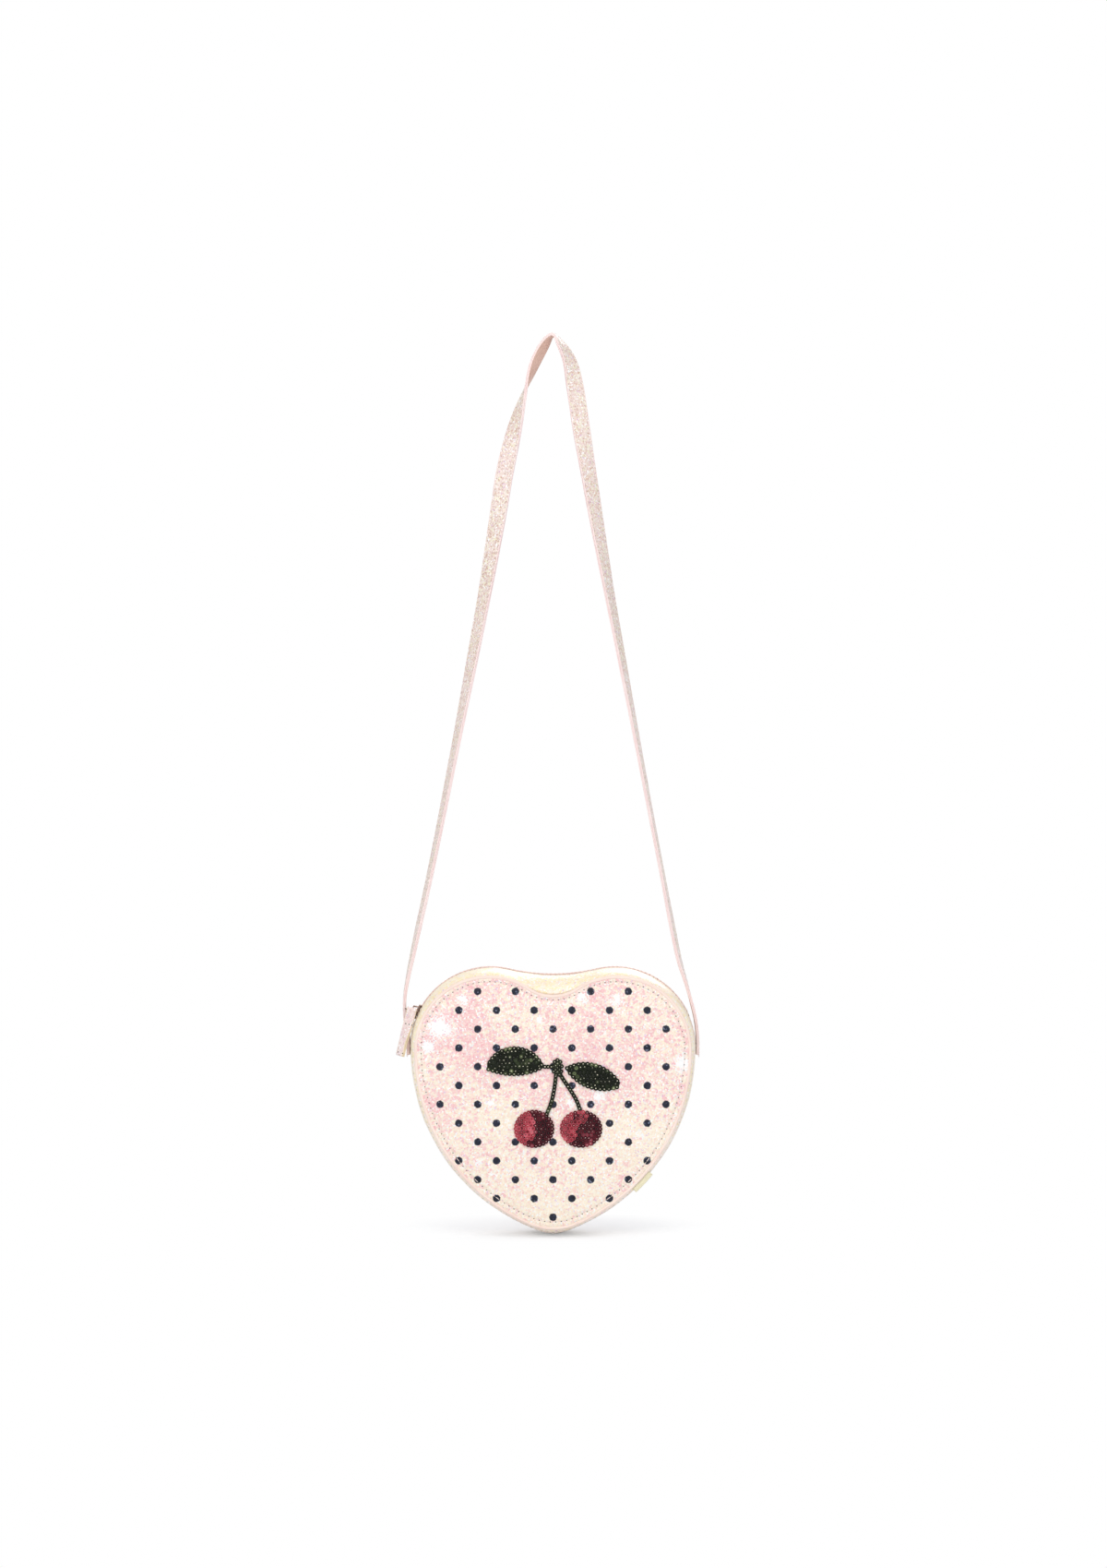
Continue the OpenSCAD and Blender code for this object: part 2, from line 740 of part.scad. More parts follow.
module side_label() {
    half_a = label_l / 2 / panel[3] * 180 / PI;
    color(ribbon)
        in_frame()
            translate([side_x(panel), -edge_y - layer_gap - label_t / 2, panel[1]])
                lobe_sweep(label_a - half_a, label_a + half_a)
                    translate([panel[3] + seat_gap, -label_t / 2])
                        square([label_h, label_t]);
}

module left_leaf() {
    color(leaf_green)
        in_frame()
            on_front(motif_t)
                difference() {
                    translate(knot + [-knot_r - leaf_gap, 0])
                        mirror([1, 0])
                            leaf(left_leaf_up_share * leaf_l, left_leaf_down_share * leaf_l);
                    translate(knot)
                        circle(r = knot_r + layer_gap);
                }
}

module right_leaf() {
    color(leaf_green)
        in_frame()
            on_front(motif_t)
                difference() {
                    translate(knot + [knot_r, 0])
                        rotate(-leaf_droop)
                            leaf(right_leaf_up_share * leaf_l, right_leaf_down_share * leaf_l);
                    translate(knot)
                        circle(r = knot_r + layer_gap);
                }
}

module cherry_stems() { color(leaf_green) in_frame() on_front(motif_t) stems_flat(); }
module left_cherry_shade() { color(cherry_dark) in_frame() on_front(motif_t) shade(left_cherry); }
module right_cherry_shade() { color(cherry_dark) in_frame() on_front(motif_t) shade(right_cherry); }

module lit(at) {
    difference() {
        cherry(at);
        shade(at);
    }
}

module left_cherry_lit() { color(cherry_red) in_frame() on_front(motif_t) lit(left_cherry); }
module right_cherry_lit() { color(cherry_red) in_frame() on_front(motif_t) lit(right_cherry); }

strap_face();
strap_backing();
front_panel();
back_panel();
front_binding();
back_binding();
front_stiffener();
back_stiffener();
front_lining();
back_lining();
bottom_gusset();
gusset_lining();
front_zip_band();
back_zip_band();
front_band_lining();
back_band_lining();
front_zip_tape();
back_zip_tape();
front_zip_teeth();
back_zip_teeth();
zip_top_stops();
zip_bottom_stop();
zip_end_patches();
slider_body();
pull_ring();
pull_tab();
side_label();
left_leaf();
right_leaf();
cherry_stems();
left_cherry_lit();
left_cherry_shade();
right_cherry_lit();
right_cherry_shade();
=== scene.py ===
"""Heart-shaped crossbody handbag: soft forms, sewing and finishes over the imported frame.

Lengths are millimetres in the bag's own frame, where z is about 0 at the tip of the heart.
at() turns such a point into metres in the shared frame, whose origin is the strap's crown.
"""
import math
import random
from functools import lru_cache, partial

import bmesh
import bpy
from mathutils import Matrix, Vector, noise
from mathutils.bvhtree import BVHTree


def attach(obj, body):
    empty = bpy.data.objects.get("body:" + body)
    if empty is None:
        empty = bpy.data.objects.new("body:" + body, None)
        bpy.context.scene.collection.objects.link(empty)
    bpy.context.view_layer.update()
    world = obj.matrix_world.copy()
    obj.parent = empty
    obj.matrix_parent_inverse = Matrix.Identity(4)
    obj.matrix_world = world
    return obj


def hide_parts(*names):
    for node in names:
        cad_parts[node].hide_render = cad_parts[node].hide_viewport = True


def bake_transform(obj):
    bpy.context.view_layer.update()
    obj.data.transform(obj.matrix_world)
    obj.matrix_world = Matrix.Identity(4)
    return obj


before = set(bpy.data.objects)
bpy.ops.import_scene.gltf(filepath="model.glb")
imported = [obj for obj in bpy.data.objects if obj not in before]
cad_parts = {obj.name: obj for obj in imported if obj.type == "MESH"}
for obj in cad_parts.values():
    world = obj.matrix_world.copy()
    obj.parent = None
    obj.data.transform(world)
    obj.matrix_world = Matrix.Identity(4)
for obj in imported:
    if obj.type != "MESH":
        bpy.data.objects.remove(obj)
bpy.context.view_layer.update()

MM = 0.001
# Side of a panel along y, and its name
SIDES = ((-1, "front"), (1, "back"))

# Outlines of the gusset's crest and of the panels, as in the source: x, z and radius of the
# lobes, then the radii of sides, tip and notch
CREST = (37, 110, 48.2, 115, 20, 115)
PANEL = (38, 110, 44.3, 112.7, 36, 25)
LOBE_X, LOBE_Z, LOBE_R = CREST[:3]
# Stations on the arcs of tip, side, lobe and notch
TIP_N, SIDE_N, LOBE_N, NOTCH_N = 3, 12, 16, 6
SEAM_K = TIP_N + SIDE_N
HALF_N = SEAM_K + LOBE_N + NOTCH_N
# The zip's mouth runs from the right seam over the notch to the left seam
MOUTH = (SEAM_K, 2 * HALF_N - SEAM_K)
HALF_D = 22.5
BINDING_W, BINDING_T = 1.9, 2.6
EDGE_Y = HALF_D - BINDING_T
PANEL_DROP = 0.3
SKIN_T, LINING_T, LAYER_GAP = 1.2, 0.5, 0.1
# Thin layers are drawn this much thinner, so that they stay apart
PARTING = 0.1
ZIP_SLOT, TAPE_W, TAPE_T, TAPE_GAP = 7.2, 8.3, 0.6, 1.4
TAPE_E = SKIN_T + LAYER_GAP
TAPE_OUT_Y = TAPE_GAP / 2 + TAPE_W
END_PATCH_L = 11

# Slider, ring and tab
PARK = 64
TOOTH_RISE, SLIDER_PLAY, PLATE_T = 0.5, 0.2, 1.2
SLIDER_W = 7.8
BAIL_H, BAIL_T, BAIL_W = 2, 0.8, 1.4
BAIL_Z = LOBE_R + TOOTH_RISE + SLIDER_PLAY + PLATE_T + BAIL_H + BAIL_T / 2
WIRE_D, RING_L = 1, 9.6
TAB_W, TAB_L, TAB_T, TAB_LEAN = 5.8, 28, 1.1, 13
# Turn of the tab's free end to the left, in degrees, and the way it moves to the left
TAB_TWIST, TAB_SHIFT = 46, 0.6
# Where the twist starts below the bail, and over how much of the tab it runs
TWIST_FROM, TWIST_RUN = 3, 17

# Strap
STRAP_W, STRAP_FACE_T, STRAP_BACK_T = 10.5, 0.9, 0.9
STRAP_SEAM_IN = 1.3
SWING_Z = LOBE_Z + 2
STRAP_RISE = 424
HALF_SPAN = LOBE_X + LOBE_R + 0.3 + STRAP_BACK_T
CROWN_Z = SWING_Z + STRAP_RISE - STRAP_BACK_T
# Steps of the strap's line between two points of its route
STRAP_STEPS = 8

# Motif
CHERRY_R, CHERRY_Z = 11.4, 63.4
CHERRIES = {"left": (-11.2, CHERRY_Z), "right": (16.6, CHERRY_Z)}
# Reach to the side past the solid's round outline, and the share of the height that is sewn
CHERRY_SHAPES = {"left": (0.5, 0.94), "right": (1.1, 0.89)}
# Circles that hold a cherry's bright sequins: x and z from its middle, and radius
BRIGHT = {"left": [(-14, 2, 14.6)], "right": [(-16.4, 2, 14.6), (0.6, 7.4, 3.6)]}
CHERRY_LIFT = 0.4
LEAF_L, LEAF_GAP = 34.6, 3.5
# Half the width of a leaf's blunt tip, and the turn of the right leaf in degrees
LEAF_TIP, LEAF_TURN = 1.6, -18
# How far the leaves bow up and down, as shares of their length
LEAF_BOWS = {"left": (0.36, 0.14), "right": (0.23, 0.21)}
KNOT, KNOT_R = (2.7, 100), 4.05
# The knot is narrower than a circle and higher
KNOT_WIDE, KNOT_HIGH = 0.75, 1.3
# Middle lines of the stems, from the knot down to the cherries
STEMS = {
    "left": [(1.8, 97.5), (1.6, 94.1), (0.75, 86.9), (-1.0, 78.9), (-4.0, 71.9)],
    "right": [(4.0, 96.2), (7.4, 91.0), (11.9, 84.3), (14.8, 78.9), (16.2, 74.2)]}
STEM_HALF_W = 1.15
SEQUIN_R, SEQUIN_STEP = 1.3, 2.3
# Steps along the edge and along the second row, and from row to row inside
EDGE_STEP, SECOND_STEP, ROW_STEP = 0.86 * SEQUIN_STEP, 0.9 * SEQUIN_STEP, 0.82 * SEQUIN_STEP
# How near the second row comes to the first, and a sequin inside to any other
SECOND_CLEAR, INNER_CLEAR = 1.4, 1.5
# A sequin's hole, film, cupped height and thread knot
SEQUIN_HOLE_R, FILM_T, CUP_H, THREAD_KNOT_R = 0.4, 0.12, 0.3, 0.42
# Insets of the two rows of sequins along an edge, and of those inside
EDGE_IN, SECOND_IN, INNER_IN = 1.1, 2.9, 3.8
# How far sequins inside stray from their rows, and how far all of them lean
STRAY, SEQUIN_LEAN = 0.2, 0.2
# How much single sequins differ in lean, in tilt and in height
LEAN_SPREAD, TILT_SPREAD, LIFT_SPREAD = 0.08, 0.09, 0.12
FELT_T, FELT_LIFT = 0.3, 0.34

# Side label
LABEL_L, LABEL_H, LABEL_T, LABEL_A = 14, 3.2, 1.4, 133

# Sewing: pitch, thread radius, half of a stitch as a share of the pitch, how far a stitch
# rises and dips, and the radius of the needle's hole
STITCH_PITCH, THREAD_R, STITCH_HALF = 3.3, 0.23, 0.37
STITCH_RISE, STITCH_DIP, HOLE_R = 0.28, -0.17, 0.42
# Inset of the panels' seam at the tip and at the notch
SEW_TIP_E, SEW_NOTCH_E = 5.0, 3.2

# Share of the half span, share of the rise and twist in degrees, as in the source
STRAP_ROUTE = [
    (-1.000, -0.014, 0), (-1.001, 0.009, 0), (-1.024, 0.038, 0), (-1.026, 0.066, 3),
    (-1.006, 0.093, 6), (-0.979, 0.120, 10), (-0.925, 0.171, 14), (-0.869, 0.223, 15),
    (-0.789, 0.302, 17), (-0.664, 0.432, 23), (-0.566, 0.535, 34), (-0.470, 0.639, 44),
    (-0.383, 0.744, 66), (-0.336, 0.804, 80), (-0.278, 0.858, 58), (-0.214, 0.908, 20),
    (-0.141, 0.953, -22), (-0.064, 0.985, -26), (0, 1, 0),
    (0.060, 0.986, 26), (0.118, 0.962, 48), (0.157, 0.922, 76), (0.192, 0.874, 80),
    (0.233, 0.822, 62), (0.297, 0.744, 48), (0.387, 0.640, 30), (0.483, 0.536, 21),
    (0.579, 0.432, 14), (0.699, 0.302, 10), (0.773, 0.223, 10), (0.821, 0.171, 12),
    (0.873, 0.120, 10), (0.912, 0.093, 5), (0.956, 0.061, 0), (0.986, 0.035, 0),
    (1.000, 0.009, 0), (1.000, -0.014, 0)]


def at(p):
    """A point of the bag's frame, in metres in the shared frame."""
    return Vector((p[0] * MM, p[1] * MM, (p[2] - CROWN_Z) * MM))


def link(name, data):
    """Puts a new object into the scene."""
    made = bpy.data.objects.new(name, data)
    bpy.context.scene.collection.objects.link(made)
    return made


# Materials

# Kinds of node that are used often
MATH, VECTOR, SPREAD = "ShaderNodeMath", "ShaderNodeVectorMath", "ShaderNodeMapRange"
MIX, RAMP, NOISE = "ShaderNodeMix", "ShaderNodeValToRGB", "ShaderNodeTexNoise"
BUMP, MARK, COMBINE = "ShaderNodeBump", "ShaderNodeAttribute", "ShaderNodeCombineXYZ"
PRINCIPLED, OUTPUT = "ShaderNodeBsdfPrincipled", "ShaderNodeOutputMaterial"
PAINT, MOVE, JOIN = "GeometryNodeSetMaterial", "GeometryNodeTransform", "GeometryNodeJoinGeometry"
ALIGN, FLIP = "FunctionNodeAlignRotationToVector", "GeometryNodeFlipFaces"


def linear(hex_colour):
    """Turns an sRGB hex value to linear RGBA."""
    channels = [int(hex_colour[i:i + 2], 16) / 255 for i in (1, 3, 5)]
    return [c / 12.92 if c <= 0.04045 else ((c + 0.055) / 1.055) ** 2.4 for c in channels] + [1]


def add_node(tree, kind, *values, stops=(), **named):
    """Adds a node with its settings and links.

    Names that start with a small letter set properties. Unnamed values fill the inputs in
    order, and names that start with a capital fill the input of that name. A node given as
    a value is linked from its first output, and a list links several to one input.
    """
    made = tree.nodes.new(kind)
    for name, value in named.items():
        if name[0].islower():
            setattr(made, name, value)
    shown = [socket for socket in made.inputs if socket.enabled]
    given = list(zip(shown, values))
    for name, value in named.items():
        if name[0].isupper():
            given.append((next(s for s in shown if s.name == name.replace("_", " ")), value))
    for socket, value in given:
        for one in value if isinstance(value, list) else [value]:
            if isinstance(one, bpy.types.Node):
                one = next(s for s in one.outputs if s.enabled)
            if isinstance(one, bpy.types.NodeSocket):
                tree.links.new(one, socket)
            else:
                socket.default_value = linear(one) if str(one).startswith("#") else one
    if stops:
        band = made.color_ramp.elements
        for element, (place, colour) in ((band[0], stops[0]), (band[-1], stops[-1])):
            element.position, element.color = place, linear(colour)
        for place, colour in stops[1:-1]:
            band.new(place).color = linear(colour)
    return made


def new_material(name, coordinates="Object"):
    """A material without nodes, the function that adds nodes to it, and its coordinates."""
    material = bpy.data.materials.new(name)
    material.use_nodes = True
    material.node_tree.nodes.clear()
    add = partial(add_node, material.node_tree)
    return material, add, add("ShaderNodeTexCoord").outputs[coordinates]


def shaded(made, add, pattern, colour, shine=None, relief=None, **shader):
    """Ends a material in one Principled shader, whose other inputs are given by name.

    The pattern runs through the two roughnesses of shine, and through the stops of colour
    where it is a list. relief holds what lifts the surface, its strength and its depth.
    """
    if shine:
        shader["Roughness"] = add(SPREAD, pattern, 0.3, 0.7, *shine)
    if relief:
        height, strength, deep = relief
        shader["Normal"] = add(BUMP, Strength=strength, Distance=deep * MM, Height=height)
    if isinstance(colour, list):
        colour = add(RAMP, pattern, stops=colour)
    add(OUTPUT, add(PRINCIPLED, Base_Color=colour, **shader))
    return made


# Flakes are 0.2 mm in life and drawn 0.8 mm wide, so that the render shows them
FLAKE = 0.8 * MM
# Flakes of one colour lie in clumps a few millimetres apart
CLUMP = 2.6 * MM
DOT_X, DOT_Z, DOT_R = 22.3, 22.26, 2.25
DOT_TOP_Z = 145.0


def dot_distance(add, place, shift):
    """Distance from the nearest dot of one of the two square grids of printed dots."""
    start = (shift * DOT_X * MM, 0, (DOT_TOP_Z - CROWN_Z + shift * DOT_Z) * MM)
    half = (DOT_X * MM / 2, 1, DOT_Z * MM / 2)
    moved = add(VECTOR, place, start, operation="SUBTRACT")
    cell = add(VECTOR, moved, half, tuple(-h for h in half), operation="WRAP")
    level = add(VECTOR, cell, (1, 0, 1), operation="MULTIPLY")
    return add(VECTOR, level, operation="LENGTH")


def print_dots(add, place, tint, colour):
    """Ragged navy dots over the flakes, and painted highlights: patches of flakes painted white."""
    nearest = add(MATH, dot_distance(add, place, 0), dot_distance(add, place, 0.5), operation="MINIMUM")
    rough = add(NOISE, place, Scale=1 / (1.2 * MM))
    edge = add(MATH, rough, 0.9 * MM, nearest, operation="MULTIPLY_ADD")
    ink = add(SPREAD, edge, (DOT_R + 0.3) * MM, (DOT_R + 0.6) * MM, 1, 0)
    printed = add(MARK, attribute_name="printed").outputs["Fac"]
    ink = add(MATH, ink, printed, operation="MULTIPLY")
    navy = add(RAMP, tint.outputs["Green"], stops=[
        (0.0, "#0a0d1c"), (0.7, "#141a30"), (0.93, "#252c45"), (0.97, "#6d738a")])
    colour = add(MIX, ink, colour, navy, data_type="RGBA")
    # Painted highlight: flakes turn white near the marked patches, raggedly towards their edges.
    glint = add(MARK, attribute_name="glint").outputs["Fac"]
    ragged = add(MATH, tint.outputs["Blue"], -0.7, glint, operation="MULTIPLY_ADD")
    bright = add(SPREAD, ragged, 0.0, 0.25)
    return add(MIX, bright, colour, "#ffffff", data_type="RGBA")


def glittered(name, warm, pale, lean, rise=0.0, dotted=False, coordinates="Object", tilt=0.5):
    """Glitter-coated leatherette: chopped film in a clear binder. Each flake has its own
    tint and tilt, so that the sheet looks grainy; single flakes are painted white highlights.

    warm and pale are the colours of two groups of flakes. A higher lean gives more warm
    ones, rise is what it gains from the tip to the lobes, and tilt is how far flakes lean.
    """
    made, add, place = new_material(name, coordinates)
    flakes = add("ShaderNodeTexVoronoi", place, Scale=1 / FLAKE)
    tint = add("ShaderNodeSeparateColor", flakes.outputs["Color"])
    clumps = add(NOISE, place, Scale=1 / CLUMP, Detail=2.5, Distortion=0.6)
    cloud = add(NOISE, place, Scale=1 / (34 * MM), Detail=1.5)
    height = add("ShaderNodeSeparateXYZ", place).outputs["Z"]
    share = add(SPREAD, height, (15 - CROWN_Z) * MM, (105 - CROWN_Z) * MM, lean, lean + rise)
    drift = add(MATH, cloud, 0.5, share, operation="MULTIPLY_ADD")
    total = add(MATH, clumps, drift, operation="ADD")
    group = add(SPREAD, total, 1.16, 1.32)
    colour = add(MIX, group, add(RAMP, tint, stops=pale), add(RAMP, tint, stops=warm), data_type="RGBA")
    # Painted highlight: a few flakes are painted white as sparkles.
    painted_sparkle = add(SPREAD, tint.outputs["Green"], 0.9, 0.93)
    colour = add(MIX, painted_sparkle, colour, "#ffffff", data_type="RGBA")
    rare = add(SPREAD, tint.outputs["Blue"], 0.975, 0.985, 0.0, 0.6)
    colour = add(MIX, rare, colour, "#d9b6e0", data_type="RGBA")
    if dotted:
        colour = print_dots(add, place, tint, colour)
    any_way = add(VECTOR, flakes.outputs["Color"], (0.5, 0.5, 0.5), operation="SUBTRACT")
    lean_over = add(VECTOR, any_way, Scale=tilt, operation="SCALE")
    facing = add("ShaderNodeNewGeometry").outputs["Normal"]
    turned = add(VECTOR, lean_over, facing, operation="ADD")
    grain = add(NOISE, place, Scale=1 / (0.6 * MM), Detail=3)
    bump = add(BUMP, Strength=0.35, Distance=0.15 * MM, Height=grain, Normal=turned)
    return shaded(made, add, None, colour, Normal=bump, Roughness=0.36, Specular_IOR_Level=0.3,
                  Coat_Weight=0.08, Coat_Roughness=0.2)


def grained(name, dark, light, roughness=0.48, coordinates="Object"):
    """PU leatherette: a fine pressed grain with a soft, slightly uneven satin shine."""
    made, add, place = new_material(name, coordinates)
    cells = add("ShaderNodeTexVoronoi", place, Scale=1 / (0.45 * MM), feature="DISTANCE_TO_EDGE")
    cloud = add(NOISE, place, Scale=1 / (14 * MM), Detail=3)
    return shaded(made, add, cloud, [(0.3, dark), (0.7, light)],
                  (roughness - 0.06, roughness + 0.08), (cells, 0.5, 0.06), Sheen_Weight=0.08)


def wave_scale(period):
    """Scale at which a Wave texture repeats after a period: it has 20 bands in 2 pi."""
    return 2 * math.pi / 20 / period


def woven(name, dark, light, thread, roughness=0.8):
    """Plain weave of polyester yarn: threads over and under, with a dry, matt look."""
    made, add, place = new_material(name, "UV")
    warp, weft = (add("ShaderNodeTexWave", place, Scale=wave_scale(thread),
                      bands_direction=way).outputs["Fac"] for way in "XY")
    over = add("ShaderNodeTexChecker", place, Scale=1 / thread).outputs["Fac"]
    height = add(MIX, over, warp, weft)
    return shaded(made, add, height, [(0.1, dark), (0.7, light)], None, (height, 0.6, 0.12),
                  Roughness=roughness, Sheen_Weight=0.3, Sheen_Roughness=0.4)


def moulded(name, dark, light):
    """Injection-moulded acetal of the zip teeth: waxy, with faint flow marks."""
    made, add, place = new_material(name)
    flow = add(NOISE, place, Scale=1 / (1.5 * MM), Detail=3)
    return shaded(made, add, flow, [(0.35, dark), (0.65, light)], (0.26, 0.4), IOR=1.48,
                  Subsurface_Weight=0.1, Subsurface_Scale=0.5 * MM)


def plated(name, dark, light):
    """Die-cast zinc, plated dark bronze: a tinted mirror with fine rubbed scratches."""
    made, add, place = new_material(name)
    long_way = add("ShaderNodeMapping", place, Scale=(1, 6, 1))
    rub = add(NOISE, long_way, Scale=1 / (0.8 * MM), Detail=4)
    return shaded(made, add, rub, [(0.3, dark), (0.7, light)], (0.18, 0.42), (rub, 0.15, 0.02),
                  Metallic=1.0)


def spangled(name, stops, rim):
    """Sequins of coloured PET film: glossy, each one a tone of its own that is partly painted glint,
    with a painted highlight at its rim.
    """
    made, add, place = new_material(name)
    shade = add(MARK, attribute_name="shade").outputs["Fac"]
    scuff = add(NOISE, place, Scale=1 / (0.5 * MM), Detail=2)
    out = add(MARK, attribute_name="radial").outputs["Fac"]
    # Painted highlight: the outer rim of each cup is mixed towards a lighter colour.
    painted_rim_highlight = add(SPREAD, out, 0.72, 1.0, 0.0, 0.85)
    colour = add(MIX, painted_rim_highlight, add(RAMP, shade, stops=stops), rim, data_type="RGBA")
    return shaded(made, add, scuff, colour, (0.2, 0.36), Specular_IOR_Level=0.12)


def felted(name, dark, light):
    """Needled polyester felt under the sequins: dull, with short tangled fibres."""
    made, add, place = new_material(name)
    fibres = add(NOISE, place, Scale=1 / (0.4 * MM), Detail=4, Distortion=2)
    return shaded(made, add, fibres, [(0.35, dark), (0.65, light)], None, (fibres, 0.6, 0.1),
                  Roughness=0.95)


def spun(name, dark, light):
    """Twisted polyester sewing thread: matt, with the twist as fine slanting lines."""
    made, add, place = new_material(name)
    twist = add("ShaderNodeTexWave", place, Scale=wave_scale(0.25 * MM), Distortion=1.5,
                bands_direction="DIAGONAL").outputs["Fac"]
    return shaded(made, add, twist, [(0.2, dark), (0.8, light)], None, (twist, 0.4, 0.05),
                  Roughness=0.65, Sheen_Weight=0.2)


def knotted(name, dark, light):
    """Thread knots in the sequins' holes: each catches the light by its own share."""
    made, add, place = new_material(name)
    share = add(MARK, attribute_name="knot").outputs["Fac"]
    ply = add(NOISE, place, Scale=1 / (0.2 * MM), Detail=2)
    total = add(MATH, ply, 0.4, share, operation="MULTIPLY_ADD")
    return shaded(made, add, total, [(0.35, dark), (1.0, light)], None, (ply, 0.4, 0.05),
                  Roughness=0.5, Sheen_Weight=0.2)


def foamed(name, dark, light):
    """EVA foam board: closed cells give a dull, slightly pitted skin."""
    made, add, place = new_material(name)
    cells = add("ShaderNodeTexVoronoi", place, Scale=1 / (0.6 * MM))
    return shaded(made, add, cells, [(0.0, dark), (0.7, light)], None, (cells, 0.4, 0.1), Roughness=0.9)


# Camera, light and floor

SENSOR = 36
EYE_X, EYE_DISTANCE, EYE_Z, SEEN_H = 0.3, 2100, 267.7, 937.8
FLOOR_Z, FLOOR_HALF = -1.2, 6
WORLD_LIGHT = 0.6
FLOOR_LIFT = 0.12
# The shadow is kept behind the tip, as the light from the front throws it
SHADOW_MIDDLE = (0, 0.03, 0)


def set_camera():
    camera = bpy.data.cameras.new("camera")
    camera.sensor_width = SENSOR
    camera.lens = SENSOR * EYE_DISTANCE / SEEN_H
    holder = link("camera", camera)
    holder.location = at((EYE_X, -EYE_DISTANCE, EYE_Z))
    holder.rotation_euler = (math.radians(90), 0, 0)
    bpy.context.scene.camera = holder


def add_lamp(name, place, size, power, colour):
    """A round softbox that points at the bag."""
    lamp = bpy.data.lights.new(name, "AREA")
    lamp.shape = "DISK"
    lamp.size = size
    lamp.energy = power
    lamp.color = linear(colour)[:3]
    holder = link(name, lamp)
    holder.location = place
    way = at((0, 0, 90)) - Vector(place)
    holder.rotation_euler = way.to_track_quat("-Z", "Y").to_euler()


def light_scene():
    world = bpy.data.worlds.new("white_studio")
    world.use_nodes = True
    world.node_tree.nodes.clear()
    add = partial(add_node, world.node_tree)
    path = add("ShaderNodeLightPath").outputs
    seen = add(MATH, path["Is Camera Ray"], path["Is Glossy Ray"])
    seen = add(MATH, seen, path["Is Transmission Ray"])
    level = add(SPREAD, seen, 0, 1, WORLD_LIGHT, 1)
    add("ShaderNodeOutputWorld", add("ShaderNodeBackground", "#ffffff", level))
    bpy.context.scene.world = world
    add_lamp("key_softbox", (-1.1, -1.9, 0.5), 1.1, 11, "#fffaf4")
    add_lamp("fill_softbox", (1.3, -1.7, -0.1), 1.3, 5.5, "#f7faff")
    add_lamp("back_softbox", (0.4, 1.8, 0.7), 1.2, 12, "#ffffff")
    add_lamp("top_softbox", (0, -0.9, 1.1), 0.9, 6, "#fffaf2")


def white_floor():
    """Matt white table: it keeps the soft shadow near the bag and fades to plain white."""
    made, add, place = new_material("matt_white_laminate")
    behind = add(VECTOR, place, SHADOW_MIDDLE, operation="SUBTRACT")
    level = add(VECTOR, behind, (1, 1.4, 0), operation="MULTIPLY")
    away = add(VECTOR, level, operation="LENGTH")
    far = add(SPREAD, away, 0.02, 0.11, interpolation_type="SMOOTHSTEP")
    seen = add("ShaderNodeLightPath").outputs["Is Camera Ray"]
    matt = add(PRINCIPLED, Roughness=0.9, Base_Color="#f0f3f8")
    near = add("ShaderNodeAddShader", matt, add("ShaderNodeEmission", "#ffffff", FLOOR_LIFT))
    white = add("ShaderNodeMixShader", far, near, add("ShaderNodeEmission", "#ffffff", 1.0))
    add(OUTPUT, add("ShaderNodeMixShader", seen, matt, white))
    return made


def lay_floor():
    mesh = bpy.data.meshes.new("table_top")
    z = at((0, 0, FLOOR_Z)).z
    corners = [(x * FLOOR_HALF, y * FLOOR_HALF, z) for x, y in ((-1, -1), (1, -1), (1, 1), (-1, 1))]
    mesh.from_pydata(corners, [], [(0, 1, 2, 3)])
    mesh.materials.append(white_floor())
    link("table_top", mesh)


# Heart outlines, as in the source, with stations that may lie between whole numbers

def inset(h, e):
    return (h[0], h[1], h[2] - e, h[3] - e, h[4] - e, h[5] + e)


def on_arc(x, z, r, degrees):
    a = math.radians(degrees)
    return x + r * math.cos(a), z + r * math.sin(a)


def half_point(h, k):
    lobe_x, lobe_z, lobe_r, side_r, tip_r, notch_r = h
    side_x = lobe_x + lobe_r - side_r
    tip_z = lobe_z - math.sqrt((side_r - tip_r) ** 2 - side_x ** 2)
    notch_z = lobe_z + math.sqrt((lobe_r + notch_r) ** 2 - lobe_x ** 2)
    tip_end = math.degrees(math.atan2(tip_z - lobe_z, -side_x))
    lobe_end = math.degrees(math.atan2(notch_z - lobe_z, -lobe_x))
    if k <= TIP_N:
        return on_arc(0, tip_z, tip_r, -90 + (tip_end + 90) * k / TIP_N)
    if k <= SEAM_K:
        return on_arc(side_x, lobe_z, side_r, tip_end * (SEAM_K - k) / SIDE_N)
    if k <= SEAM_K + LOBE_N:
        return on_arc(lobe_x, lobe_z, lobe_r, lobe_end * (k - SEAM_K) / LOBE_N)
    share = (k - SEAM_K - LOBE_N) / NOTCH_N
    return on_arc(0, notch_z, notch_r, lobe_end - 180 - (lobe_end - 90) * share)


def heart_point(h, k):
    """Station k runs from the tip up the right side, over the notch and down the left."""
    x, z = half_point(h, -k if k < 0 else 2 * HALF_N - k if k > HALF_N else k)
    return (x if 0 <= k <= HALF_N else -x), z


def between(a, b, share):
    """The point at a share of the way from a to b."""
    return tuple(p + (q - p) * share for p, q in zip(a, b))


def wall_point(k, e, y):
    """A point of the gusset, inset by e from its outer face, at depth y."""
    share = math.sqrt(max(0, 1 - (y / EDGE_Y) ** 2))
    x, z = between(heart_point(inset(PANEL, e), k), heart_point(inset(CREST, e), k), share)
    return x, y, z


def steps(start, end, n):
    return [start + (end - start) * i / n for i in range(n + 1)]


def lengths(points):
    """Length along a line of points, from its start to each point."""
    run = [0.0]
    for a, b in zip(points, points[1:]):
        run.append(run[-1] + math.dist(a, b))
    return run


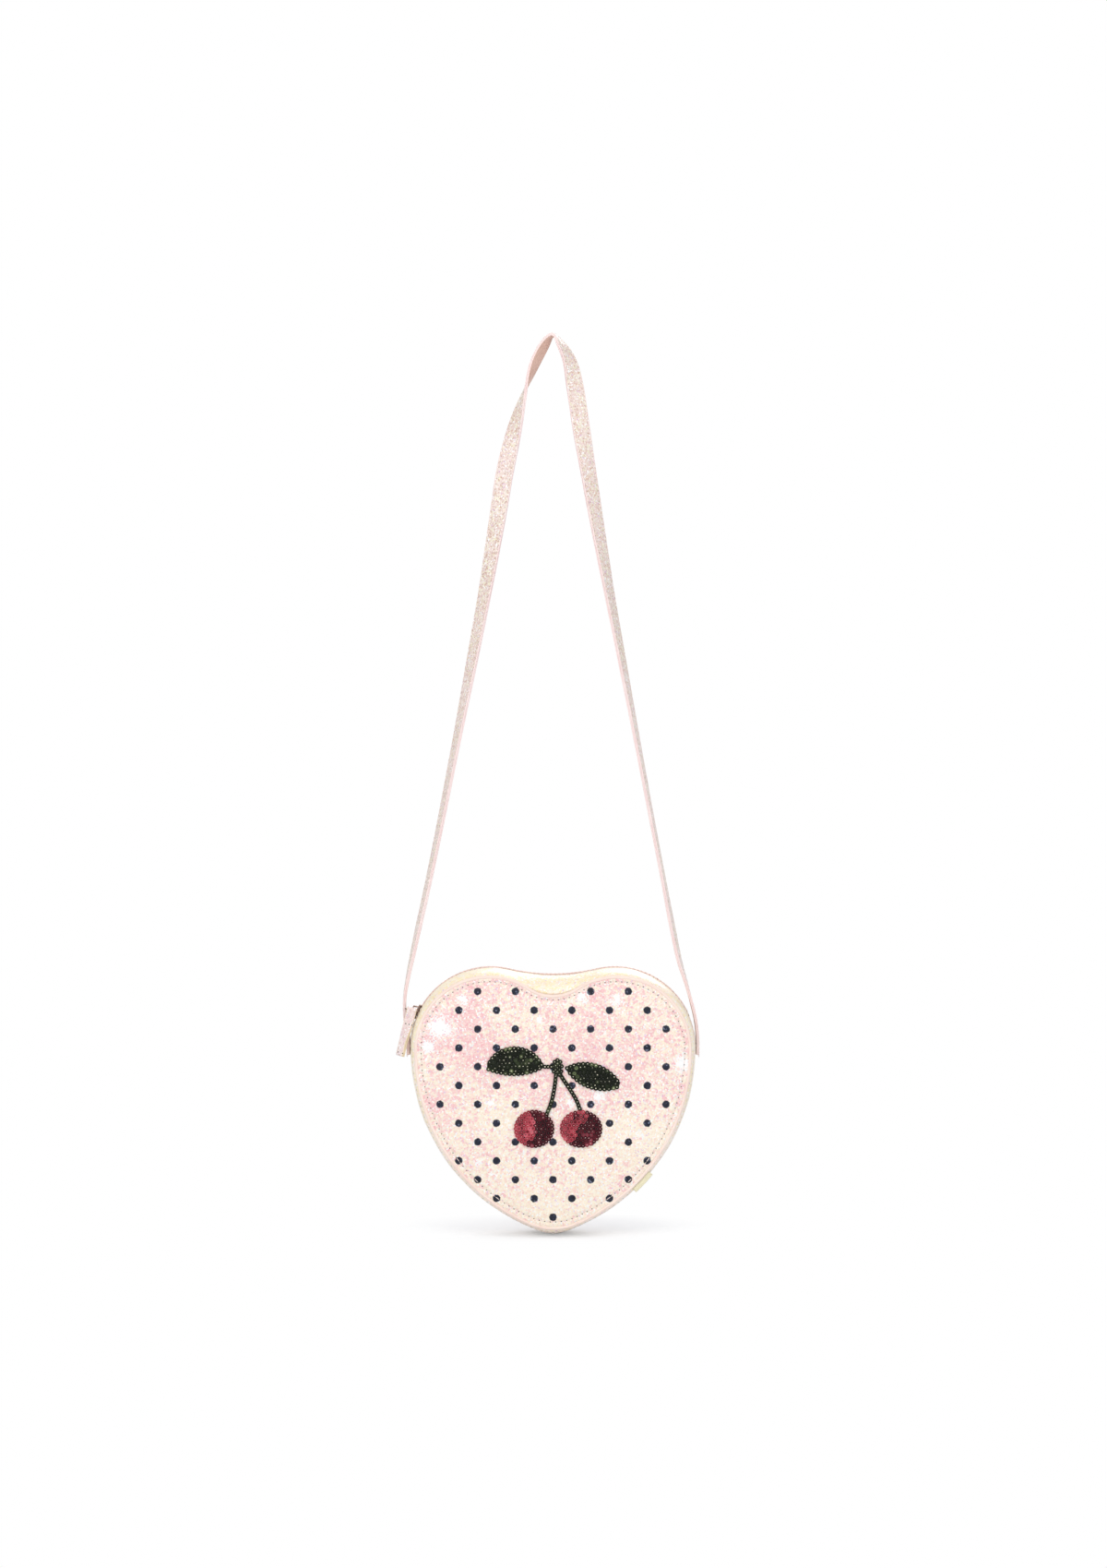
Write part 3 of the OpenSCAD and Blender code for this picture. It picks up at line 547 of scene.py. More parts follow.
def direction(a, b):
    """Unit vector from a to b, by their first two coordinates."""
    return Vector((b[0] - a[0], b[1] - a[1])).normalized()


def direction_at(line, i):
    return direction(line[max(0, i - 1)], line[min(len(line) - 1, i + 1)])


def wobble(x, y, z, size, seed=0):
    """Smooth noise from -1 to 1 whose humps are about size apart."""
    return noise.noise(Vector((x / size + seed, y / size, z / size)))


def distance_inside(p, outline):
    """Distance from the outline, positive inside."""
    near, inside = 1e9, False
    for (ax, az), (bx, bz) in zip(outline, outline[1:] + outline[:1]):
        dx, dz = bx - ax, bz - az
        t = max(0, min(1, ((p[0] - ax) * dx + (p[1] - az) * dz) / (dx * dx + dz * dz + 1e-12)))
        near = min(near, math.hypot(ax + t * dx - p[0], az + t * dz - p[1]))
        if (az > p[1]) != (bz > p[1]) and p[0] < (bx - ax) * (p[1] - az) / (bz - az) + ax:
            inside = not inside
    return near if inside else -near


# Meshes

def grid(rows, ring=False, loop=False, turned=False):
    """Points and faces of a surface over rows; ring joins a row's ends, loop the rows'."""
    n, m = len(rows), len(rows[0])
    faces = []
    for i in range(n if loop else n - 1):
        for j in range(m if ring else m - 1):
            a, b = i * m + j, i * m + (j + 1) % m
            c, d = ((i + 1) % n) * m + (j + 1) % m, ((i + 1) % n) * m + j
            faces.append((a, d, c, b) if turned else (a, b, c, d))
    return [p for row in rows for p in row], faces


def declare(made, body, node=None, slot=None):
    """Puts a piece on the body it rides on and hides the CAD node it stands for; slot is not used."""
    if body:
        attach(made, body)
    if node:
        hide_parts(node)
    return made


def add_piece(name, points, faces, materials, body, node=None, slot=None, uv=None):
    """Makes a smooth mesh piece; materials holds their keys, with spaces between."""
    mesh = bpy.data.meshes.new(name)
    mesh.from_pydata([at(p) for p in points], [], faces)
    for key in materials.split():
        mesh.materials.append(MATERIALS[key])
    mesh.shade_smooth()
    if uv:
        layer = mesh.uv_layers.new(name="surface")
        for loop in mesh.loops:
            layer.data[loop.index].uv = uv[loop.vertex_index]
    return declare(link(name, mesh), body, node, slot)


def face_outwards(made):
    """Turns the faces of a closed shell outwards."""
    shell = bmesh.new()
    shell.from_mesh(made.data)
    bmesh.ops.recalc_face_normals(shell, faces=shell.faces)
    shell.to_mesh(made.data)
    shell.free()


def thicken(made, thickness):
    """Gives a sheet its thickness, away from the side that its faces point to."""
    wall = made.modifiers.new("thickness", "SOLIDIFY")
    wall.thickness = thickness * MM
    wall.offset = -1
    wall.use_even_offset = True


def settle(made):
    """Turns the result of a piece's modifiers into its plain mesh."""
    graph = bpy.context.evaluated_depsgraph_get()
    result = bpy.data.meshes.new_from_object(made.evaluated_get(graph),
                                             preserve_all_data_layers=True, depsgraph=graph)
    made.modifiers.clear()
    made.data = result


def sheet_grid(rows, turned=False):
    """Points, faces and a UV map in metres for a sheet given as rows of points."""
    down = lengths([row[len(row) // 2] for row in rows])
    uv = [(down[i] * MM, across * MM) for i, row in enumerate(rows) for across in lengths(row)]
    return *grid(rows, turned=turned), uv


def make_sheet(name, rows, material, thickness, node, slot, turned=False):
    points, faces, uv = sheet_grid(rows, turned)
    made = add_piece(name, points, faces, material, "bag", node, slot, uv)
    thicken(made, thickness)
    return made


def swept(name, run, section, place, materials, body, node, slot, second=(), around=None):
    """A closed bar: place gives the point for a station, u and v of its section.

    run is the length up to each station and around the length round the section, for the
    UV map. second lists the sides of the section that have the second material.
    """
    m = len(section)
    points, faces = grid([[place(i, u, v) for u, v in section] for i in range(len(run))], ring=True)
    sides = len(faces)
    faces += [tuple(range(m)), tuple(len(points) - 1 - j for j in range(m))]
    uv = [(down * MM, across * MM) for down in run for across in around or [u + v for u, v in section]]
    made = add_piece(name, points, faces, materials, body, node, slot, uv)
    for face in made.data.polygons:
        if face.index < sides:
            face.material_index = int(face.index % m in second)
    face_outwards(made)
    return made


# Geometry Nodes: rows of stitches and fields of sequins

def new_tree(name, inputs):
    """A tree with named inputs, the function that adds its nodes, and what it is given."""
    tree = bpy.data.node_groups.new(name, "GeometryNodeTree")
    tree.interface.new_socket("Geometry", in_out="OUTPUT", socket_type="NodeSocketGeometry")
    for kind, words in {"Geometry": "Geometry", **inputs}.items():
        for word in words.split():
            tree.interface.new_socket(word, in_out="INPUT", socket_type="NodeSocket" + kind)
    add = partial(add_node, tree)
    return tree, add, add("NodeGroupInput").outputs


def stitch_tree():
    """A row of lock stitches along a path, with the needle's hole between each two."""
    tree, add, given = new_tree("lock_stitch_row", {
        "Int": "stitches", "Float": "half_stitch thread_radius rise dip hole_radius hole_place",
        "Material": "thread hole"})
    path = add("GeometryNodeMeshToCurve", given["Geometry"])
    even = add("GeometryNodeResampleCurve", path, Count=given["stitches"], mode="COUNT")
    back = add(MATH, given["half_stitch"], -1, operation="MULTIPLY")
    arch = add("GeometryNodeCurveQuadraticBezier", 4, add(COMBINE, X=back, Z=given["dip"]),
               add(COMBINE, Z=given["rise"]), add(COMBINE, X=given["half_stitch"], Z=given["dip"]))
    wire = add("GeometryNodeCurvePrimitiveCircle", 5, given["thread_radius"])
    thread = add(PAINT, add("GeometryNodeCurveToMesh", arch, wire, Fill_Caps=True),
                 Material=given["thread"])
    pit = add("GeometryNodeMeshCone", 6, Radius_Top=0.0, Radius_Bottom=given["hole_radius"],
              Depth=0.08 * MM)
    beside = add(MOVE, pit, add(COMBINE, X=given["hole_place"]))
    hole = add(PAINT, beside, Material=given["hole"])
    stitch = add(JOIN, [thread, hole])
    along = add(ALIGN, axis="X", Vector=add("GeometryNodeInputTangent"))
    out = add("GeometryNodeInputNamedAttribute", "out", data_type="FLOAT_VECTOR")
    turn = add(ALIGN, along, Vector=out, axis="Z", pivot_axis="X")
    row = add("GeometryNodeInstanceOnPoints", even, Instance=stitch, Rotation=turn)
    add("NodeGroupOutput", add("GeometryNodeRealizeInstances", row))
    return tree


def sequin_tree():
    """Cupped sequins, each held by a knot of thread through its hole, one on each point."""
    tree, add, given = new_tree("sequin_field", {
        "Float": "radius hole_radius film cup knot_radius", "Material": "sequin knot"})
    lift = add(COMBINE, Z=given["film"])
    rise = add(COMBINE, Z=given["cup"])
    hole, rim, film, cup = (given[n] for n in ("hole_radius", "radius", "film", "cup"))
    under, over, edge, bore = (
        add("GeometryNodeMeshCone", 12, Radius_Bottom=low, Radius_Top=high, Depth=deep,
            fill_type="NONE")
        for low, high, deep in ((hole, rim, cup), (hole, rim, cup), (rim, rim, film),
                                (hole, hole, film)))
    over = add(FLIP, add(MOVE, over, lift))
    edge = add(MOVE, edge, rise)
    bore = add(FLIP, bore)
    sequin = add("GeometryNodeMergeByDistance", add(JOIN, [under, over, edge, bore]),
                 Distance=0.001 * MM)
    level = add(VECTOR, add("GeometryNodeInputPosition"), (1, 1, 0), operation="MULTIPLY")
    radial = add(MATH, add(VECTOR, level, operation="LENGTH"), rim, operation="DIVIDE")
    sequin = add("GeometryNodeStoreNamedAttribute", sequin, Name="radial", Value=radial)
    sequin = add(PAINT, sequin, Material=given["sequin"])
    knot = add("GeometryNodeMeshUVSphere", 8, 6, given["knot_radius"])
    knot = add(MOVE, knot, lift, Scale=(1, 0.8, 0.6))
    knot = add(PAINT, knot, Material=given["knot"])
    sewn = add(JOIN, [sequin, knot])
    out = add("GeometryNodeInputNamedAttribute", "out", data_type="FLOAT_VECTOR")
    turn = add(ALIGN, Vector=out, axis="Z")
    field = add("GeometryNodeInstanceOnPoints", given["Geometry"], Instance=sewn, Rotation=turn)
    add("NodeGroupOutput", add("GeometryNodeRealizeInstances", field))
    return tree


def grow(name, points, edges, marks, tree, **inputs):
    """Runs a tree on points that carry marks, and keeps the result as a plain mesh."""
    mesh = bpy.data.meshes.new(name)
    mesh.from_pydata([at(p) for p in points], edges, [])
    for word, values in marks.items():
        kind, field = ("FLOAT_VECTOR", "vector") if word == "out" else ("FLOAT", "value")
        mesh.attributes.new(word, kind, "POINT").data.foreach_set(field, values)
    made = link(name, mesh)
    work = made.modifiers.new(tree.name, "NODES")
    work.node_group = tree
    for item in tree.interface.items_tree:
        if item.in_out == "INPUT" and item.name in inputs:
            work[item.identifier] = inputs[item.name]
    settle(made)
    return made


def sew(name, path, out, body, cyclic=False, pitch=STITCH_PITCH, thread=THREAD_R, hole="needle_hole"):
    """A row of stitches along a path of points; out holds each point's outward vector."""
    n = len(path)
    edges = [(i, i + 1) for i in range(n - 1)] + ([(n - 1, 0)] if cyclic else [])
    run = lengths(path + ([path[0]] if cyclic else []))[-1]
    made = grow(name, path, edges, {"out": [c for v in out for c in v]}, TREES["stitch"],
                stitches=round(run / pitch), half_stitch=STITCH_HALF * pitch * MM,
                thread_radius=thread * MM, rise=STITCH_RISE * MM, dip=STITCH_DIP * MM,
                hole_radius=HOLE_R * MM, hole_place=0.5 * pitch * MM,
                thread=MATERIALS["thread"], hole=MATERIALS[hole])
    made.data.shade_smooth()
    return declare(made, body)


def sprinkle(name, places, knots, node, slot):
    """A field of sequins on (point, out vector, shade, knot's shade), for one CAD node."""
    points, out, shade, knot = zip(*places)
    marks = {"out": [c for v in out for c in v], "shade": shade, "knot": knot}
    made = grow(name, points, [], marks, TREES["sequin"],
                radius=SEQUIN_R * MM, hole_radius=SEQUIN_HOLE_R * MM, film=FILM_T * MM,
                cup=CUP_H * MM, knot_radius=THREAD_KNOT_R * MM,
                sequin=MATERIALS[slot], knot=MATERIALS[knots])
    declare(made, "bag", node, slot)


# Panels and bindings

FINE = 16
STATIONS = [k / FINE for k in range(2 * HALF_N * FINE)]
HEART_MIDDLE = (0, 97)


def sew_inset(k):
    """The panels' seam comes closer to the edge from the tip up to the notch."""
    return SEW_TIP_E + (SEW_NOTCH_E - SEW_TIP_E) * min(k, 2 * HALF_N - k) / HALF_N


SEW_LINE = [heart_point(inset(PANEL, sew_inset(k)), k) for k in STATIONS]
SEW_RUN = lengths(SEW_LINE + [SEW_LINE[0]])
SEW_N = round(SEW_RUN[-1] / STITCH_PITCH)
# Insets of the panel's rows: at fixed distances from the edge, then from the seam
EDGE_ROWS = (1.0, 1.4, 1.8, 2.1)
SEAM_ROWS = (-0.85, -0.55, -0.35, -0.17, 0, 0.17, 0.35, 0.55, 0.85, 1.3, 1.9, 2.8)
INNER_ROWS = (9.6, 12, 15)
# Depth and half width of the seam's groove, depth and reach of its puckers
GROOVE, GROOVE_HALF_W, PUCKER, PUCKER_REACH = 0.36, 0.6, 0.14, 2.4
# Over this distance from the binding the padding swells up
SWELL_REACH = 9
# Humps of the padding: their height, size and the inset where they are full
HUMP, HUMP_SIZE, HUMP_E = 0.24, 24, 12
# Inset that counts for the middle of the panel, and the one where its skin dips under the binding
MIDDLE_E, TUCK_E = 60, 2.2
# How far the thread draws the binding's lip inwards and down
LIP_IN, LIP_DOWN = 0.14, 0.16


def pull(i, shift=0.0):
    """Swings between 1 and 0 once per stitch of the seam; shift is a share of a stitch."""
    return 0.5 + 0.5 * math.cos(2 * math.pi * (SEW_RUN[i] / SEW_RUN[-1] * SEW_N - shift))


def face_rise(e, i, x, z, crown):
    """How far the panel's face stands out at inset e: padding less what the seam draws in."""
    past = e - sew_inset(STATIONS[i])
    groove = GROOVE * math.exp(-(past / GROOVE_HALF_W) ** 4)
    pucker = PUCKER * pull(i) * math.exp(-past / PUCKER_REACH) if past > 0 else 0
    swell = crown * (1 - math.exp(-max(0, e - BINDING_W) / SWELL_REACH))
    return swell - groove - pucker + HUMP * wobble(x, 0, z, HUMP_SIZE) * min(1, e / HUMP_E)


def panel_rows(side, crown, drop):
    """Rows from under the binding to the middle; side is -1 in front and 1 behind."""
    def point(e, i, x, z):
        tuck = 0.8 * max(0, TUCK_E - e) ** 1.3
        return x, side * (HALF_D - drop + face_rise(e, i, x, z, crown) - tuck), z

    insets = [[e] * len(STATIONS) for e in EDGE_ROWS]
    insets += [[sew_inset(k) + past for k in STATIONS] for past in SEAM_ROWS]
    insets += [[e] * len(STATIONS) for e in INNER_ROWS]
    rows = [[point(e, i, *heart_point(inset(PANEL, e), STATIONS[i]))
             for i, e in enumerate(row)] for row in insets]
    rim = rows[-1]
    for t in steps(0, 1, 24)[1:-1]:
        e = INNER_ROWS[-1] + (MIDDLE_E - INNER_ROWS[-1]) * t
        rows.append([point(e, i, *between((x, z), HEART_MIDDLE, t))
                     for i, (x, _, z) in enumerate(rim)])
    return rows


# Painted highlights on the front: patches where flakes are painted white as glare, as (x, z, radius)
PAINTED_HIGHLIGHTS = [(-67.1, 123.6, 7.5), (17.6, 141.4, 3.2), (37.7, 140.2, 3.2), (-53.5, 140.2, 3),
          (-36.9, 78.6, 2.6), (10.5, 78.6, 2.6), (27, 82.8, 3.6), (76.8, 102.3, 5),
          (-74, 112, 4), (22, 62, 2.2), (-8, 128, 2), (52, 60, 2), (-44, 44, 2.2)]
# Only dots whose middle lies inside this line were printed whole
PRINT_EDGE = [heart_point(inset(PANEL, 3), k / 2) for k in range(4 * HALF_N)]
PRINT_HALF_W = 75


@lru_cache(None)
def is_printed(dot):
    """False for dots of the pattern that the front panel was cut through."""
    return abs(dot[0]) < PRINT_HALF_W and distance_inside(dot, PRINT_EDGE) > 0


def nearest_dot(x, z):
    dots = []
    for shift in (0, 0.5):
        n = round(x / DOT_X - shift) + shift
        m = round((z - DOT_TOP_Z) / DOT_Z - shift) + shift
        dots.append((round(n * DOT_X, 3), round(DOT_TOP_Z + m * DOT_Z, 3)))
    return min(dots, key=lambda dot: math.dist(dot, (x, z)))


def mark_front(made, points):
    """Notes at each point whether its dot is printed, and how strong the painted highlight is."""
    printed = [float(is_printed(nearest_dot(x, z))) for x, _, z in points]
    painted_highlights = [max(math.exp(-(math.dist((x, z), g[:2]) / g[2]) ** 2) for g in PAINTED_HIGHLIGHTS)
              for x, _, z in points]
    for name, values in (("printed", printed), ("glint", painted_highlights)):
        made.data.attributes.new(name, "FLOAT", "POINT").data.foreach_set("value", values)


def make_panel(side, label, crown, drop, material):
    """The padded skin of a panel; gives its face, for what is sewn to it."""
    points, faces = grid(panel_rows(side, crown, drop), ring=True, turned=side > 0)
    tip, n = len(points), len(STATIONS)
    rise = face_rise(MIDDLE_E, 0, *HEART_MIDDLE, crown)
    points.append((HEART_MIDDLE[0], side * (HALF_D - drop + rise), HEART_MIDDLE[1]))
    for j in range(n):
        a, b = tip - n + j, tip - n + (j + 1) % n
        faces.append((b, a, tip) if side > 0 else (a, b, tip))
    made = add_piece(label + "_panel_skin", points, faces, material, "bag", label + "_panel",
                     "glitter_leatherette")
    if side < 0:
        mark_front(made, points)
    thicken(made, 1.0)
    return BVHTree.FromPolygons(points, faces)


def on_face(face, x, z, side=-1):
    """The point of a panel's face at x and z."""
    return face.ray_cast(Vector((x, side * 60, z)), Vector((0, -side, 0)))[0]


def make_binding(side, label):
    """Folded strip that frames a panel: plump, with its inner lip drawn in by the thread."""
    section = [(1.9, -0.3), (1.95, 1.4), (1.9, 2.1), (1.7, 2.5), (1.35, 2.72), (0.95, 2.74),
               (0.55, 2.55), (0.2, 2.1), (0.0, 1.4), (-0.06, 0.6), (0.04, -0.02), (0.8, -0.3)]
    rows = []
    for i, k in enumerate(STATIONS):
        x, z = heart_point(PANEL, k)
        loose = 0.16 * wobble(x, 0, z, 17, 5)
        row = []
        for e, up in section:
            share = max(0, min(1, e / BINDING_W))
            x, z = heart_point(inset(PANEL, e + LIP_IN * pull(i, 0.5) * share ** 3), k)
            rise = up + loose * (up > 1) - LIP_DOWN * pull(i, 0.5) * share ** 2 * (up > 1)
            row.append((x, side * (EDGE_Y + rise * 0.96), z))
        rows.append(row)
    face_outwards(add_piece(label + "_binding_fold", *grid(rows, ring=True, loop=True), "trim",
                            "bag", label + "_binding", "smooth_trim"))


def sew_panel(side, label, face):
    path = [tuple(on_face(face, x, z, side)) for x, z in SEW_LINE[::2]]
    sew(label + "_panel_stitches", path, [(0, side, 0)] * len(path), "bag", cyclic=True,
        pitch=SEW_RUN[-1] / SEW_N)


# Gusset, zip bands and what closes the mouth

# Height and size of the gusset's soft folds and of its small creases
FOLD, FOLD_SIZE, CREASE, CREASE_SIZE = 0.32, 19, 0.12, 7
# Distance from a seam where folds die away, then height, reach and pitch of its puckers
FOLD_END, DRAWN, DRAWN_REACH, DRAWN_PITCH = 6, 0.16, 1.8, 4.6


def crease(k, y, seam_ys):
    """How far the gusset's skin stands out: soft folds, and puckers along its seams."""
    x, y, z = wall_point(k, 0, y)
    soft = FOLD * wobble(x, y, z, FOLD_SIZE, 3) + CREASE * wobble(x, y, z, CREASE_SIZE, 8)
    held = min([1.0] + [abs(y - seam) / FOLD_END for seam in seam_ys])
    drawn = sum(DRAWN * math.exp(-abs(y - seam) / DRAWN_REACH) for seam in seam_ys)
    ripple = math.sin(2 * math.pi * (x + z) / DRAWN_PITCH)
    return soft * held + drawn * ripple * 0.6


def skin_rows(k0, k1, ys, seam_ys):
    return [[wall_point(k, -crease(k, y, seam_ys), y) for y in ys]
            for k in steps(k0, k1, round((k1 - k0) * 8))]


def wall_rows(k0, k1, ys, e):
    return [[wall_point(k, e, y) for y in ys] for k in steps(k0, k1, 180)]


def depths(y0, y1, n):
    """Depths from y0 to y1, closer together where the gusset turns to the panels."""
    a0, a1 = (math.acos(max(-1, min(1, -y / EDGE_Y))) for y in (y0, y1))
    return [-EDGE_Y * math.cos(a) for a in steps(a0, a1, n)]


def wall_out(p):
    """Roughly the way the gusset faces at a point."""
    middle = Vector((max(-LOBE_X, min(LOBE_X, p[0])) * 0.8, 0, min(p[2], LOBE_Z)))
    if p[2] < LOBE_Z:
        middle = Vector((0, 0, 75))
    v = Vector((p[0], p[1] * 0.35, p[2])) - middle
    return tuple(v.normalized())


def sew_wall(name, k0, k1, n, e, y, pitch=STITCH_PITCH):
    path = [wall_point(k, e, y) for k in steps(k0, k1, n)]
    sew(name, path, [wall_out(p) for p in path], "bag", pitch=pitch)


def make_gusset():
    rows = skin_rows(-SEAM_K, SEAM_K, depths(-EDGE_Y, EDGE_Y, 26), (-EDGE_Y, EDGE_Y))
    make_sheet("gusset_skin", rows, "cream", SKIN_T - PARTING, "bottom_gusset", "gusset_leatherette")
    for side, label in SIDES:
        sew_wall("gusset_stitches_" + label, -SEAM_K + 0.2, SEAM_K - 0.2, 300, -0.05,
                 side * (EDGE_Y - 1.9))


def make_zip_bands():
    for side, label in SIDES:
        ys = [-side * y for y in depths(-EDGE_Y, -ZIP_SLOT / 2, 14)]
        make_sheet(label + "_zip_band_skin", skin_rows(*MOUTH, ys, (side * EDGE_Y,)), "cream",
                   SKIN_T - PARTING, label + "_zip_band", "gusset_leatherette", side > 0)
        sew_wall(label + "_zip_band_stitches", MOUTH[0] + 0.3, MOUTH[1] - 0.3, 340, -0.04,
                 side * (ZIP_SLOT / 2 + 1.7), 2.8)


def make_panel_lining(side, label):
    """Woven cloth stretched over the inside of a panel's board."""
    y = EDGE_Y - 0.05
    rows = [[(x, side * y, z) for x, z in (heart_point(inset(PANEL, e), k)
                                           for k in STATIONS[::4])] for e in (1.95, 3, 5, 8, 12)]
    rim = rows[-1]
    for t in steps(0, 0.97, 8)[1:]:
        row = []
        for x, _, z in rim:
            sag = 0.3 * abs(wobble(x * (1 - t), 0, z * (1 - t), 22, 2))
            near_x, near_z = between((x, z), HEART_MIDDLE, t)
            row.append((near_x, side * (y - sag), near_z))
        rows.append(row)
    points, faces = grid(rows, ring=True, turned=side > 0)
    middle = range(len(points) - len(rim), len(points))
    faces.append(tuple(middle if side < 0 else reversed(middle)))
    made = add_piece(label + "_lining_cloth", points, faces, "lining", "bag",
                     label + "_lining", "lining", [(x * MM, z * MM) for x, _, z in points])
    thicken(made, LINING_T - PARTING)


def make_cloths():
    """Lining and zip tapes: woven cloth, glued or sewn flat against the leatherette."""
    for side, label in SIDES:
        make_panel_lining(side, label)
        for word, key, slot, thick, y0, y1, wide in (
                ("_band_lining", "lining", "lining", LINING_T - PARTING, -EDGE_Y,
                 -TAPE_OUT_Y - LAYER_GAP, 0.0122),
                ("_zip_tape", "tape", "zip_tape", TAPE_T - 0.06, -TAPE_OUT_Y, -TAPE_GAP / 2, 0.01)):
            rows = wall_rows(*MOUTH, [-side * y for y in depths(y0, y1, 6)], TAPE_E + 0.03)
            made = make_sheet(label + word + "_cloth", rows, key, thick, label + word, slot, side > 0)
            lengths([r[0] for r in rows])[-1] * MM
    rows = wall_rows(-SEAM_K, SEAM_K, depths(-EDGE_Y, EDGE_Y, 16), TAPE_E + 0.05)
    made = make_sheet("gusset_lining_cloth", rows, "lining", LINING_T - PARTING,
                      "gusset_lining", "lining")
    lengths([r[8] for r in rows])[-1] * MM


def make_end_patches():
    """Two tongues of cream leatherette that close the slit past the ends of the zip."""
    ys = steps(-ZIP_SLOT / 2 + 0.15, ZIP_SLOT / 2 - 0.15, 10)
    points, faces, uv = [], [], []
    for mirrored in (1, -1):
        rows = []
        for a in steps(0, math.degrees(END_PATCH_L / LOBE_R), 16):
            places = [on_arc(LOBE_X, LOBE_Z, LOBE_R + 0.1 - 0.35 * (abs(y) / ys[-1]) ** 6, a)
                      for y in ys]
            rows.append([(mirrored * x, y, z) for y, (x, z) in zip(ys, places)])
        more, joined, laid_out = sheet_grid(rows, mirrored < 0)
        faces += [tuple(i + len(points) for i in face) for face in joined]
        points += more
        uv += laid_out
    thicken(add_piece("zip_end_tongues", points, faces, "cream", "bag", "zip_end_patches",
                      "gusset_leatherette", uv), SKIN_T)


# Slider, ring and tab

def smooth_line(points, rounds):
    """Cuts the corners of an open line of points."""
    for _ in range(rounds):
        cut = [points[0]]
        for a, b in zip(points, points[1:]):
            cut.append(tuple(0.75 * p + 0.25 * q for p, q in zip(a, b)))
            cut.append(tuple(0.25 * p + 0.75 * q for p, q in zip(a, b)))
        points = cut + [points[-1]]
    return points


def from_pull(x, y, z):
    """A point given from the middle of the bail's bar, in the leaning frame of the pull."""
    a, lean = math.radians(PARK), math.radians(TAB_LEAN)
    start = (-LOBE_X - BAIL_Z * math.sin(a), 0, LOBE_Z + BAIL_Z * math.cos(a))
    return (start[0] + x * math.cos(lean) + z * math.sin(lean), start[1] + y,
            start[2] - x * math.sin(lean) + z * math.cos(lean))


def make_slider():
    """The CAD slider with its edges tumbled round, as die casting leaves them."""
    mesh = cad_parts["slider_body"].data.copy()
    mesh.materials.clear()
    mesh.materials.append(MATERIALS["zip_metal"])
    made = link("slider_casting", mesh)
    weld = bmesh.new()
    weld.from_mesh(mesh)
    bmesh.ops.remove_doubles(weld, verts=weld.verts, dist=0.005 * MM)
    bmesh.ops.dissolve_limit(weld, angle_limit=math.radians(1), verts=weld.verts, edges=weld.edges)
    weld.to_mesh(mesh)
    weld.free()
    rounding = made.modifiers.new("rounding", "BEVEL")
    rounding.width = 0.14 * MM
    rounding.segments = 2
    rounding.angle_limit = math.radians(32)
    settle(made)
    made.data.shade_smooth()
    made.data.set_sharp_from_angle(angle=math.radians(38))
    declare(made, "slider", "slider_body", "zip_metal")


def make_ring():
    """Wire bent round the bail, with shoulders that keep the tab at its far bar."""
    loop_r = math.hypot(BAIL_W, BAIL_T) / 2 + WIRE_D / 2 + SLIDER_PLAY
    corner_r = 0.6 * WIRE_D
    far_half = TAB_W / 2 + SLIDER_PLAY + corner_r
    leg_l = SLIDER_W / 2 + WIRE_D
    shoulder_l = RING_L - WIRE_D / 2 - SLIDER_PLAY - TAB_T - SLIDER_PLAY
    flat = [(far_half, -shoulder_l), (loop_r, -leg_l), (loop_r, -leg_l / 2)]
    flat += [on_arc(0, 0, loop_r, a) for a in range(0, 181, 12)]
    flat += [(-x, y) for x, y in flat[2::-1]]
    for x, start in ((corner_r - far_half, 180), (far_half - corner_r, 270)):
        flat += [on_arc(x, corner_r - RING_L, corner_r, a) for a in range(start, start + 91, 15)]
    rows = []
    for i, (x, y) in enumerate(flat):
        d = Vector(flat[(i + 1) % len(flat)]) - Vector(flat[i - 1])
        out = Vector((d.y, -d.x)).normalized()
        wire = [on_arc(0, 0, WIRE_D / 2, 360 * j / 14) for j in range(14)]
        rows.append([from_pull(x + out.x * u, y + out.y * u, v) for u, v in wire])
    face_outwards(add_piece("pull_ring_wire", *grid(rows, ring=True, loop=True), "zip_metal",
                            "ring", "pull_ring", "zip_metal"))


def tab_point(u, y, z):
    """A point of the twisted tab: u across it and y behind the middle of its fold."""
    share = max(0, min(1, (-z - TWIST_FROM) / TWIST_RUN))
    a = math.radians(TAB_TWIST) * share * share * (3 - 2 * share)
    return from_pull(u * math.cos(a) + y * math.sin(a) - TAB_SHIFT * share,
                     -RING_L + y * math.cos(a) - u * math.sin(a), z)


